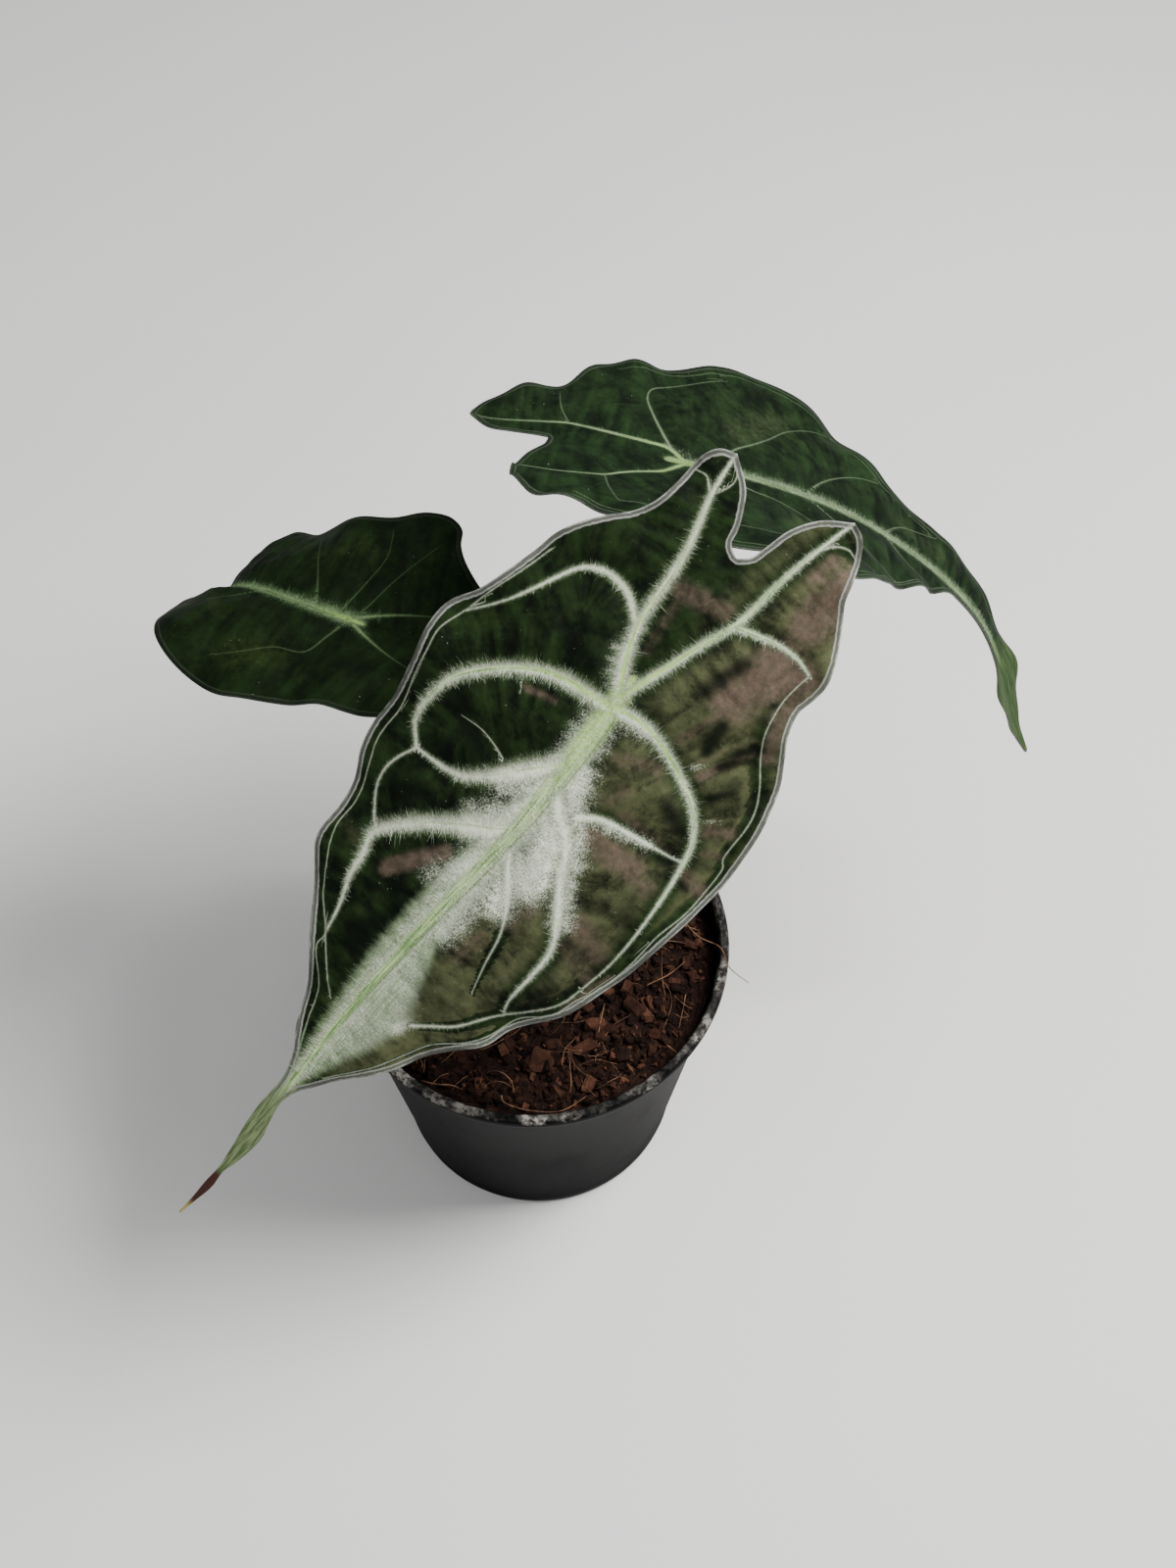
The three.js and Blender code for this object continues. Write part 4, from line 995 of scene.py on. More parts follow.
leftLeaf = {
    "name": "leaf_left_blade",
    "node": "leaf_left",
    "slot": "leaf_dark",
    "seat": (-44.7, 48.8, 168),
    "size": 1,
    "wave": 0.7,
    "steps": 8,
    "columns": 36,
    "way": [
        (-60, 156, 6, -2, 8, 14, -1, -1),
        (-25, 155, 1, -2, 8, 14, -2, -2),
        (-10, 154.5, -2, -2, 8, 12, -3, -3),
        (0, 154, -5, -2, 8, 10, -3, -4),
        (12, 152, -8, -2, 10, 8, -5, -5),
        (24, 150, -14, -2, 18, 3, -9, -9),
        (32, 148, -28, -2, 28, 0, -13, -11),
        (40, 145, -52, -2, 36, 4, -14, -11),
        (48, 142, -70, -2, 36, 6, -13, -10),
        (60, 136, -82, -4, 22, 4, -8, -6),
        (76, 118, -80, -6, 6, 2, -3, -3),
        (110, 95, -70, -8, 0, 0, 0, 0),
    ],
    "midrib": [106, 101, 95, 88, 81, 74, 67, 60, 53.5, 47, 40.5, 34, 27.5, 21, 14, 7, 0],
    "seam": [-7, -16, -26],
    "right": {
        "ribWidths": ((1.4, 0.45, 0.2), (0.2, 0.03)),
        "rim": [
            (106.2, 0.5), (101, 1.4), (95, 2.8), (88.5, 4.4), (82, 6.2), (75, 8.2), (68, 8.6), (61.5, 9.8),
            (55, 11.6), (48.5, 15.4), (42, 20.6), (36, 27.4), (30, 31.4), (23, 33.2), (16.3, 33.6),
            (10, 32.1), (3.5, 30.3), (-1.7, 29.1), (-7, 27), (-13, 26), (-19, 25), (-26, 22.6),
            (-33, 18.6), (-41, 10.6),
        ],
        "rib": [(-4.5, 2.4), (-10, 4.8), (-15.5, 6.6), (-21, 7.9), (-27, 8.9), (-34, 9.7), (-41, 10.6)],
        "notch": [(-27.6, 2.2), (-31.5, 4), (-36.5, 5.6), (-41, 10.6)],
    },
    "left": {
        "ribWidths": ((1.4, 0.5, 0.2), (0.2, 0.03)),
        "rim": [
            (106.2, -0.5), (101, -1.2), (95, -2.6), (88, -4.2), (81, -6), (74, -8.2), (67, -10.8),
            (60, -13.6), (53.5, -16.6), (47, -19.8), (40.5, -22.8), (34, -25.2), (27.5, -26.8),
            (21, -27.8), (14.5, -29.6), (8, -31.2), (1.5, -33), (-5, -34.8), (-11, -35.6), (-15.6, -33),
            (-18, -28), (-22, -23.5), (-30, -18), (-41.5, -12.4),
        ],
        "rib": [
            (-4.5, -2.4), (-10, -4.8), (-15.5, -6.8), (-21, -8.4), (-27.5, -10), (-34.5, -11.4),
            (-41.5, -12.4),
        ],
        "notch": [(-27.8, -2.6), (-32, -4.6), (-37, -6.8), (-41.5, -12.4)],
    },
    "midribFringe": [(-4, 1.8), (0, 3.4), (10, 3.0), (30, 2.2), (60, 1.3), (106, 0.5)],
    "midribCore": [(-4, 0.3), (0, 0.7), (10, 0.3), (30, 0.1), (106, 0.1)],
    "midribEnds": (0.3, 0.1),
    "heartReach": 12,
    "veins": [
        ((0.9, 0.5, 0.3), (0.1, 0.05), [(9.7, -0.6), (11.4, -3.5), (14.3, -8.5), (18.7, -15.1), (23, -22)]),
        ((0.9, 0.5, 0.3), (0.1, 0.05), [(2.5, -0.2), (2.8, -2.4), (0.8, -10.5), (-0.7, -19.6), (2, -27.5)]),
        ((0.9, 0.5, 0.3), (0.1, 0.05), [(0.3, -0.4), (-2.1, -2.8), (-6.5, -15), (-11.9, -26.5)]),
        ((0.8, 0.5, 0.3), (0.1, 0.05), [
            (-0.2, 0.3), (2, 7), (4.7, 13.9), (11.9, 15.6), (18.4, 20.3), (23.9, 24.3),
        ]),
        ((0.6, 0.4, 0.3), (0.1, 0.05), [(26, 0), (33, 8), (40, 14)]),
    ],
    "silver": [(-3, 0, 10, 0, 3, 0.4), (-6, 3, 0, 0, 2, 0.3), (-6, -3, 0, 0, 2, 0.3)],
    "shadow": [(-10, 12, 6, 18, 4, 0.5), (8, -10, 16, -8, 4, 0.5)],
    "bronze": [(8, -19, 14, -17, 6, 0.4), (10, 18, 20, 22, 6, 0.5), (30, 14, 38, 8, 5, 0.3)],
    "litOliveRight": 0.1,
    "thinVeins": 0.18,
    "streaky": 0.7,
    "deadTip": 104,
    "tailStart": 78,
    "hairs": {"count": 5000, "length": 0.9, "radius": 0.035, "seed": 7},
    "tone": {
        "dark": (8, 16, 6),
        "green": (20, 36, 13),
        "litOlive": (30, 46, 18),
        "bronze": ((32, 50, 18), (46, 54, 26)),
        "fringe": ((34, 52, 29), (112, 134, 96)),
        "core": ((62, 84, 48), (116, 138, 94)),
        "heart": (140, 172, 88),
        "tail": ((30, 50, 22), (52, 74, 36)),
        "rim": ((22, 28, 20), (52, 58, 46)),
        "tip": ((96, 104, 58), (160, 156, 96)),
    },
}

bladeShape = {
    "thickness": 0.8,
    "midribDepth": 1.3,
    "midribWidth": 2.6,
    "quiltHeight": 1.1,
    "quiltReach": 4.5,
    "quiltFringe": 0.55,
    "bandHeight": 0.2,
    "bandReach": 7,
    "bandFringe": 0.9,
    "plainByVein": 3.0,
    "thinByRim": 5,
    "rimShare": 0.45,
    "ridgeHeight": 0.35,
    "ridgeWidth": 0.8,
    "taperLength": 150,
    "notchColumns": 14,
}


def unitRows(rows):
    return rows / np.maximum(np.linalg.norm(rows, axis=1), 1e-9)[:, None]


class Blade:
    # the surface of one leaf: where a flat place lies in space

    def __init__(self, leaf):
        self.leaf = leaf
        first, last = leaf["way"][0][0], leaf["way"][-1][0]
        self.along = np.arange(first, last + 0.5, 1.0)
        bends = smoothRows(leaf["way"], self.along)
        heading, pitch, bank = np.radians(bends[:, :3]).T
        self.folds = bends[:, 3:]
        level = np.stack([np.cos(heading), np.sin(heading), 0 * heading], 1)
        upright = np.array([0, 0, 1])
        rising, lying = np.sin(pitch)[:, None], np.cos(pitch)[:, None]
        forward = level * lying + upright * rising
        up = upright * lying - level * rising
        side = np.cross(up, forward)
        turn, lean = np.cos(bank)[:, None], np.sin(bank)[:, None]
        self.side = side * turn + np.cross(forward, side) * lean
        self.up = up * turn + np.cross(forward, up) * lean
        steps = (forward[1:] + forward[:-1]) / 2
        spots = np.concatenate([np.zeros((1, 3)), np.cumsum(steps, 0)])
        home = spots[np.argmin(np.abs(self.along))]
        self.spots = spots - home + np.array(leaf["seat"], float)

    def between(self, values, along):
        return np.stack([np.interp(along, self.along, values[:, k]) for k in range(values.shape[1])], 1)

    def place(self, flat, lift):
        size = self.leaf["size"]
        along = np.clip(flat[:, 0] * size, self.along[0], self.along[-1])
        spot = self.between(self.spots, along)
        side = unitRows(self.between(self.side, along))
        up = unitRows(self.between(self.up, along))
        folds = self.between(self.folds, along)
        right = flat[:, 1] >= 0
        reach = np.abs(flat[:, 1]) * size
        fold = np.radians(np.where(right, folds[:, 0], folds[:, 1]))
        curl = np.radians(np.where(right, folds[:, 2], folds[:, 3])) / 10
        curl = np.where(np.abs(curl) < 1e-6, 1e-6, curl)
        lean = fold + curl * reach
        out = (np.sin(lean) - np.sin(fold)) / curl
        rise = (np.cos(fold) - np.cos(lean)) / curl
        sign = np.where(right, 1.0, -1.0)
        spot = spot + side * (sign * (out - lift * np.sin(lean)))[:, None]
        return spot + up * (rise + lift * np.cos(lean))[:, None]


def veinLines(leaf):
    # every vein as a fine line of flat points, with its left and right fringe and its core at each
    along = np.arange(-4, leaf["midrib"][0] + 0.1, 1.5)
    fringe = smoothRows(leaf["midribFringe"], along)
    core = smoothRows(leaf["midribCore"], along)[:, 0]
    lines = [(np.stack([along, 0 * along], 1), fringe[:, 0], fringe[:, -1], core)]
    ribs = [(*half["ribWidths"], [(0, 0)] + half["rib"]) for half in (leaf["right"], leaf["left"])]
    for fringes, cores, points in ribs + leaf["veins"]:
        t = np.linspace(0, len(points) - 1, max(6 * (len(points) - 1), 8))
        share = t / t[-1]
        fringe = np.interp(share, (0, 0.5, 1), fringes)
        lines.append((smoothPath(points, t), fringe, fringe, np.interp(share, (0, 1), cores)))
    return lines


def nearestOnLine(flat, line):
    # the gap from a line to each flat place, the side it is on, and how far along the line that is
    ends = line[1:] - line[:-1]
    lengths = np.maximum(np.linalg.norm(ends, axis=1), 1e-9)
    runs = np.concatenate([[0], np.cumsum(lengths)])
    best = np.full(len(flat), 1e9)
    side = np.zeros(len(flat))
    run = np.zeros(len(flat))
    gaps = np.zeros((len(flat), 2))
    for i, end in enumerate(ends):
        apart = flat - line[i]
        share = np.clip((apart @ end) / lengths[i] ** 2, 0, 1)
        gap = apart - share[:, None] * end
        distance = np.hypot(gap[:, 0], gap[:, 1])
        closer = distance < best
        best[closer] = distance[closer]
        gaps[closer] = gap[closer]
        cross = end[0] * gap[:, 1] - end[1] * gap[:, 0]
        side[closer] = np.where(cross[closer] < 0, -1.0, 1.0)
        run[closer] = runs[i] + share[closer] * lengths[i]
    return best, side, run, runs, gaps


def veinField(flat, leaf):
    # the nearest vein at each flat place, weighed by how wide each vein's fringe is;
    # each vein's run starts at a place of its own, so that no two have the same hairs
    veinShift = 37
    count = len(flat)
    share = np.full(count, 1e9)
    nearest = np.full(count, 1e9)
    place = np.zeros((count, 3))
    size = np.zeros((count, 3))
    away = np.zeros((count, 2))
    waves, weights = np.zeros(count), np.full(count, 1e-6)
    for number, (line, leftFringes, rightFringes, cores) in enumerate(veinLines(leaf)):
        distance, side, run, runs, gap = nearestOnLine(flat, line)
        leftFringe, rightFringe = (np.interp(run, runs, widths) for widths in (leftFringes, rightFringes))
        fringe = np.where(side > 0, rightFringe, leftFringe)
        score = distance / fringe
        closer = score < share
        share[closer] = score[closer]
        place[closer] = np.stack([distance, distance * side, run + veinShift * number], 1)[closer]
        size[closer] = np.stack([fringe, np.interp(run, runs, cores), 0 * fringe], 1)[closer]
        away[closer] = gap[closer]
        if leftFringes.max() > bladeShape["quiltFringe"]:
            nearest = np.minimum(nearest, distance)
        if leftFringes.max() > bladeShape["bandFringe"]:
            # low bands run outward from the main veins
            x = run * 1.2 + 5 * number
            wave = (np.sin(x) + 0.6 * np.sin(2.17 * x + 1.7) + 0.4 * np.sin(4.3 * x + 0.6)) / 1.5
            weight = np.exp(-((distance / bladeShape["bandReach"]) ** 2))
            waves += wave * weight
            weights += weight
    size[:, 2] = waves / weights
    return {"share": share, "nearest": nearest, "place": place, "size": size, "away": unitRows(away)}


def softStrokes(flat, strokes):
    # a stroke is a short line of one half-width that fades out at its sides
    total = np.zeros(len(flat))
    for along0, across0, along1, across1, half, strength in strokes:
        start = np.array([along0, across0], float)
        line = np.array([along1 - along0, across1 - across0], float)
        apart = flat - start
        share = np.clip((apart @ line) / max(line @ line, 1e-6), 0, 1)
        gap = np.linalg.norm(apart - share[:, None] * line, axis=1)
        total = np.maximum(total, strength * np.exp(-((gap / half) ** 2)))
    return total


def cornerPath(paths, t):
    # a smooth path, or two that meet at a corner
    flat = smoothPath(paths[0], t)
    if len(paths) > 1:
        turn = len(paths[0]) - 1
        beyond = t > turn
        flat[beyond] = smoothPath(paths[1], t[beyond] - turn)
    return flat


def leafStrips(leaf):
    # flat strips from the midrib and the two lobe ribs out to the rim, and in to the notch
    strips = []
    midrib = [(along, 0) for along in leaf["midrib"]]
    seam = [(0, 0)] + [(along, 0) for along in leaf["seam"]]
    for half, sign in (("right", 1), ("left", -1)):
        rib = [(0, 0)] + leaf[half]["rib"]
        notch = [seam[-1]] + leaf[half]["notch"]
        rows = len(rib) - 1
        outerRows = len(midrib) - 1 + rows
        strips.append(([midrib, rib], [leaf[half]["rim"]], outerRows, leaf["columns"], -sign, True))
        strips.append(([rib], [seam, notch], rows, bladeShape["notchColumns"], sign, False))
    return strips


def rimDistance(flat, leaf):
    rim = np.full(len(flat), 1e9)
    for _, outer, rows, _, _, outside in leafStrips(leaf):
        outline = cornerPath(outer, np.linspace(0, rows, rows * 4))
        if not outside:
            # the seam between the lobes isn't a rim
            outline = outline[np.abs(outline[:, 1]) > 0.01]
        rim = np.minimum(rim, nearestOnLine(flat, outline)[0])
    return rim


def flatLeaf(leaf):
    # the whole blade as one flat sheet in millimetres, given its two faces
    bm = bmesh.new()
    waveLayer = bm.verts.layers.float.new("wave")
    for inner, outer, rows, columns, sign, wavy in leafStrips(leaf):
        grid = bmesh.ops.create_grid(bm, x_segments=rows * leaf["steps"], y_segments=columns, size=1.0)
        made = grid["verts"]
        uv = np.array([vertex.co[:2] for vertex in made])
        t = (uv[:, 0] + 1) / 2 * rows
        t = np.round(t * leaf["steps"]) / leaf["steps"]
        v = (uv[:, 1] + 1) / 2
        flat = cornerPath(inner, t) * (1 - v)[:, None] + cornerPath(outer, t) * v[:, None]
        wave = leaf["wave"] * v**3 * np.sin(1.9 * t + sign) * np.clip((np.abs(flat[:, 1]) - 3) / 4, 0, 1)
        for i, vertex in enumerate(made):
            vertex.co = (flat[i, 0], flat[i, 1], 0)
            vertex[waveLayer] = wave[i] if wavy else 0.0
    bmesh.ops.remove_doubles(bm, verts=bm.verts, dist=0.004)
    bmesh.ops.dissolve_degenerate(bm, dist=0.002, edges=bm.edges)
    bmesh.ops.recalc_face_normals(bm, faces=bm.faces)
    if sum(face.normal.z * face.calc_area() for face in bm.faces) < 0:
        bmesh.ops.reverse_faces(bm, faces=bm.faces)
    bmesh.ops.solidify(bm, geom=bm.faces[:], thickness=1.0)
    return bm


def ripple(flat):
    # low uneven swellings of the blade between its veins
    a, b = flat[:, 0], flat[:, 1]
    broad = np.sin(a * 0.21 + 1.3 * np.sin(b * 0.17)) * np.sin(b * 0.27 + 0.9 * np.sin(a * 0.11) + 0.7)
    fine = np.sin(a * 0.63 + 1.1 * np.sin(b * 0.41 + 1)) * np.sin(b * 0.71 + 1.4 * np.sin(a * 0.37))
    return 0.35 * broad + 0.16 * fine


def leafLift(flat, waves, upper, field, rim):
    # height of each face's relief: the blade swells between its veins, which stand out below
    nearest = field["nearest"]
    shape = bladeShape
    quilt = shape["quiltHeight"] * (1 - np.exp(-((nearest / shape["quiltReach"]) ** 2)) - 0.4)
    between = 1 - np.exp(-((nearest / shape["plainByVein"]) ** 2))
    inner = np.clip(rim / shape["thinByRim"], 0, 1)
    bands = shape["bandHeight"] * field["size"][:, 2]
    height = quilt + waves + (ripple(flat) + bands) * between * inner
    half = shape["thickness"] / 2 * (shape["rimShare"] + (1 - shape["rimShare"]) * inner)
    taper = np.clip((shape["taperLength"] - flat[:, 0]) / shape["taperLength"], 0.15, 1)
    onMidrib = np.where(flat[:, 0] > -4, np.exp(-((flat[:, 1] / shape["midribWidth"]) ** 2)), 0)
    ridges = np.exp(-((field["place"][:, 0] / shape["ridgeWidth"]) ** 2))
    ridges = np.clip(field["size"][:, 0] / 2, 0.2, 1) * ridges
    under = height - half - shape["midribDepth"] * taper * onMidrib - shape["ridgeHeight"] * ridges
    return height, np.where(upper, height + half, under)


def makeLeaf(leaf):
    bm = flatLeaf(leaf)
    materials = [leafUpper(leaf), leafUnder(leaf), leafEdge(leaf)]
    mesh = newPiece(leaf["name"], bm, materials, leaf["slot"], leaf["node"]).data
    places = meshPlaces(mesh)
    waves = np.empty(len(places))
    mesh.attributes["wave"].data.foreach_get("value", waves)
    mesh.attributes.remove(mesh.attributes["wave"])
    flat = places[:, :2].copy()
    upper = places[:, 2] > (places[:, 2].max() + places[:, 2].min()) / 2
    field = veinField(flat, leaf)
    rim = rimDistance(flat, leaf)
    height, lift = leafLift(flat, waves, upper, field, rim)

    # one channel holds the silver strokes above nought and the painted shade of the shadow strokes below it
    silver = softStrokes(flat, leaf["silver"]) - softStrokes(flat, leaf["shadow"])
    vectorLayer(mesh, "veinPlace", field["place"])
    vectorLayer(mesh, "veinSize", field["size"])
    vectorLayer(mesh, "patches", np.stack([silver, softStrokes(flat, leaf["bronze"]), rim], 1))
    vectorLayer(mesh, "flatPlace", np.stack([flat[:, 0], flat[:, 1], height], 1))

    # the upper face, the under face and the edge each have a material, and the hairs stand on the upper face
    quads = []
    for polygon in mesh.polygons:
        sides = [upper[vertex] for vertex in polygon.vertices]
        polygon.material_index = 0 if all(sides) else (2 if any(sides) else 1)
        if all(sides) and len(sides) == 4:
            quads.append(polygon.vertices[:])
    movePlaces(mesh, Blade(leaf).place(flat, lift))
    makeHairs(leaf, np.array(quads), flat, lift, field)


# Hairs lie at 12 to 34 degrees to the blade, and a few of them are much longer than the rest
hairShape = {"lying": (12, 34), "spread": 0.3, "longShare": 0.05, "longTimes": 2.6, "rootDepth": 0.04}


def makeHairs(leaf, quads, flat, lift, field):
    # short hairs on the upper face, thick along the veins, each leaning away from its vein
    kind, shape = leaf["hairs"], hairShape
    count = kind["count"]
    dice = np.random.default_rng(kind["seed"])
    one, two = flat[quads[:, 2]] - flat[quads[:, 0]], flat[quads[:, 3]] - flat[quads[:, 1]]
    area = np.abs(one[:, 0] * two[:, 1] - one[:, 1] * two[:, 0])
    near = np.clip(1.05 - field["share"][quads].mean(axis=1), 0, 1) ** 1.5
    fringe = field["size"][:, 0][quads].mean(axis=1)
    dense = near * np.clip(fringe / 1.6, 0.1, 1) * np.clip(3.4 / fringe, 0.1, 1) ** 2
    dense = np.where(flat[:, 0][quads].mean(axis=1) > leaf["tailStart"], 0, dense)
    picked = dice.choice(len(quads), count, p=area * dense / (area * dense).sum())
    u, v = dice.random((2, count))
    weights = np.stack([(1 - u) * (1 - v), u * (1 - v), u * v, (1 - u) * v], 1)

    def blend(values):
        return np.einsum("nk,nk...->n...", weights, values[quads[picked]])

    heading = unitRows(blend(field["away"]) + dice.normal(0, shape["spread"], (count, 2)))
    length = kind["length"] * dice.uniform(0.4, 1.1, count)
    length = length * np.where(dice.random(count) < shape["longShare"], shape["longTimes"], 1)
    rootFringe = blend(field["size"][:, 0])
    length = length * np.clip(rootFringe / 2.2, 0.3, 1.1) * np.clip(4.5 / rootFringe, 0.5, 1)
    raised = np.radians(dice.uniform(*shape["lying"], count))
    rootPlace, rootLift = blend(flat), blend(lift) - shape["rootDepth"]
    tipPlace = rootPlace + heading * (length * np.cos(raised))[:, None]
    blade = Blade(leaf)
    roots = blade.place(rootPlace, rootLift)
    shafts = blade.place(tipPlace, rootLift + length * np.sin(raised)) - roots
    sideways = unitRows(np.cross(shafts, np.array([0.3, 0.5, 0.8])))
    upward = unitRows(np.cross(shafts, sideways))

    bm = copies(thinCone, count)
    mesh = newPiece(leaf["name"] + "_hairs", bm, [hairFinish(leaf)], leaf["slot"], smooth=False).data
    local = meshPlaces(mesh).reshape(count, -1, 3)
    thick = kind["radius"] * dice.uniform(0.7, 1.3, count)[:, None, None]
    spots = roots[:, None, :] + shafts[:, None, :] * (local[:, :, 2:] + 0.5)
    spots = spots + (sideways[:, None, :] * local[:, :, :1] + upward[:, None, :] * local[:, :, 1:2]) * thick
    shades = np.zeros(local.shape)
    shade = 0.95 - 0.8 * np.clip(blend(field["share"]), 0, 1) + dice.uniform(-0.3, 0.2, count)
    shades[:, :, 0] = shade[:, None]
    vectorLayer(mesh, "hairShade", shades)
    movePlaces(mesh, spots)


def hairFinish(leaf):
    look = Finish(leaf["name"] + " pale hair")
    shade = look.parts(look.attribute("hairShade"))[0]
    patch = look.noise(look.objectPlace(), 500, 2)
    tone = look.mix(look.rise(look.plus(shade, look.lean(patch, 0.6)), 0.1, 1.0), *leaf["tone"]["fringe"])
    return look.done(tone, 0.85, specular=0.15)


def veinReading(look):
    # the signed distance is exact close to a vein, and the plain one is safe between veins
    far, side, run = look.parts(look.attribute("veinPlace"))
    near = look.mixNumber(look.calc("LESS_THAN", far, 1.0), far, look.calc("ABSOLUTE", side))
    return near, far, side, run


def leafUpper(leaf):
    tone = leaf["tone"]
    look = Finish(leaf["name"] + " velvet upper face")
    flat = look.attribute("flatPlace")
    along, across = look.parts(flat)[:2]
    near, far, side, run = veinReading(look)
    fringeWidth, coreWidth, band = look.parts(look.attribute("veinSize"))
    silver, bronze, rim = look.parts(look.attribute("patches"))

    # patterns that follow the veins, and patterns that don't
    strokes = look.strands(run, near, (3.4, 0.6), 2)
    tufts = look.strands(run, near, (0.7, 0.2), 2)
    rays = look.strands(run, near, (0.34, 0.07), 3)
    streaks = look.strands(run, side, (0.12, 2.2), 3, 0.6)
    speckle = look.noise(flat, 2.6, 3, 0.75)
    mottle = look.noise(flat, 0.75, 3, 0.6)
    cloud = look.noise(flat, 0.11, 3, 0.6)
    share = look.calc("DIVIDE", near, fringeWidth)
    wide = look.mixNumber(look.rise(fringeWidth, 0.35, 1.6), leaf["thinVeins"], 0.97)

    # dark velvet between the veins, in low rays; the right half turns olive, partly its own tone and partly
    # painted light
    # painted light: the green is a little lighter on the raised crests of the low bands
    deep = look.plus(cloud, look.lean(rays, 0.6), look.times(band, 0.09), look.lean(mottle, 0.3))
    # painted shade: the shadow strokes, below nought in the silver channel, darken the colour
    shadow = look.fall(look.plus(silver, look.lean(rays, 0.4)), -0.95, 0.0)
    shadow = look.times(shadow, look.fall(silver, -0.15, 0))
    base = look.mix(look.rise(deep, 0.25, 0.85), tone["dark"], tone["green"])
    # painted light: the right half, which faces the lamp, is lightened to olive over an olive tone of its
    # own
    litOlive = look.times(look.rise(across, 1.0, 11.0), look.rise(far, 0.5, 5.0), leaf["litOliveRight"])
    litOlive = look.times(litOlive, look.rise(look.plus(deep, look.lean(speckle, 0.35)), 0.1, 0.88))
    base = look.mix(litOlive, base, tone["litOlive"])
    bronzeShare = look.plus(bronze, look.lean(cloud, 1.0), look.lean(mottle, 0.35), look.lean(rays, 0.6))
    bronzeShare = look.times(look.rise(bronzeShare, 0.0, 1.0), look.rise(bronze, 0.02, 0.5), 0.85)
    base = look.mix(bronzeShare, base, look.mix(look.rise(mottle, 0.3, 0.7), *tone["bronze"]))
    base = look.mix(look.times(shadow, 0.92), base, tone["dark"])

    # silver hair: dense beside the core of a vein, thin and broken farther out
    silverShare = look.plus(silver, look.lean(speckle, 1.3), look.lean(tufts, 0.4), look.lean(rays, 0.6))
    silverShare = look.times(look.rise(silverShare, 0.12, 1.05), look.rise(silver, 0.02, 0.2), 0.92)
    silverBright = look.plus(speckle, look.times(silver, 0.1), look.lean(tufts, 0.3))
    silverTone = look.mix(look.rise(silverBright, 0.36, 0.72), *tone["fringe"])
    base = look.mix(silverShare, base, silverTone)
    loose = look.calc("DIVIDE", 2.6, look.calc("MAXIMUM", fringeWidth, 2.6))
    bright = look.times(look.plus(look.lean(strokes, 0.9), look.lean(speckle, 1.5)), look.plus(loose, 0.3))
    overSilver = look.times(look.rise(silver, 0.1, 0.8), 0.35)
    bright = look.plus(look.mixNumber(loose, 0.5, look.fall(share, -0.4, 1.1)), bright, overSilver)
    hairTone = look.mix(look.rise(bright, 0.15, 0.95), *tone["fringe"])
    ragged = look.plus(look.lean(strokes, 1.1), look.lean(tufts, 0.9), look.lean(speckle, 1.1))
    ragged = look.plus(share, look.times(ragged, loose))
    soft = look.mixNumber(look.times(loose, loose), 0.7, -0.2)
    fringe = look.times(look.fall(ragged, soft, look.plus(0.95, look.times(loose, 0.25))), wide)
    base = look.mix(fringe, base, hairTone)

    # green cores with pale streaks, yellower by the stalk, and painted shade in the groove along the right
    # side of the midrib's core
    coreEdge = look.plus(near, look.lean(streaks, 0.7))
    core = look.fall(coreEdge, look.times(coreWidth, 0.5), look.times(coreWidth, 1.5))
    core = look.times(core, look.rise(coreWidth, 0.1, 0.5))
    midStreaks = look.strands(along, across, (0.1, 1.6), 3, 0.6)
    midWidth = look.mixNumber(look.rise(along, 10.0, 100.0), *leaf["midribEnds"])
    offMidrib = look.calc("ABSOLUTE", across)
    midEdge = look.plus(offMidrib, look.lean(midStreaks, 0.9))
    midCore = look.fall(midEdge, look.times(midWidth, 0.4), look.times(midWidth, 1.5))
    core = look.calc("MAXIMUM", core, look.times(midCore, look.rise(along, -3.0, 1.0)))
    coreStreaks = look.mixNumber(midCore, streaks, midStreaks)
    coreTone = look.mix(look.rise(coreStreaks, 0.38, 0.62), *tone["core"])
    fromStalk = look.calc("SQRT", look.plus(look.times(along, along), look.times(across, across)))
    heart = look.fall(fromStalk, 2.0, leaf["heartReach"])
    base = look.mix(core, base, look.mix(look.times(heart, 0.75), coreTone, tone["heart"]))
    green = look.times(look.rise(along, 50.0, 85.0), look.rise(streaks, 0.44, 0.62), leaf["streaky"])
    green = look.times(green, look.fall(share, 0.4, 1.0), look.fall(offMidrib, 6.0, 11.0))
    base = look.mix(green, base, tone["core"][0])
    # painted shade: a darker green line where the groove runs beside the midrib's core, on its right side
    # only
    fromGrooveShade = look.calc("SUBTRACT", across, look.times(coreWidth, 0.95))
    grooveShade = look.fall(look.calc("ABSOLUTE", fromGrooveShade), 0.1, 0.4)
    grooveShade = look.times(grooveShade, look.rise(along, 1.0, 8.0), look.fall(along, 90.0, 120.0), 0.45)
    base = look.mix(grooveShade, base, tone["green"])

    # a few specks of dust
    dust = look.times(look.rise(look.noise(flat, 1.7, 1), 0.79, 0.82), 0.55)
    base = look.mix(dust, base, (150, 156, 140))

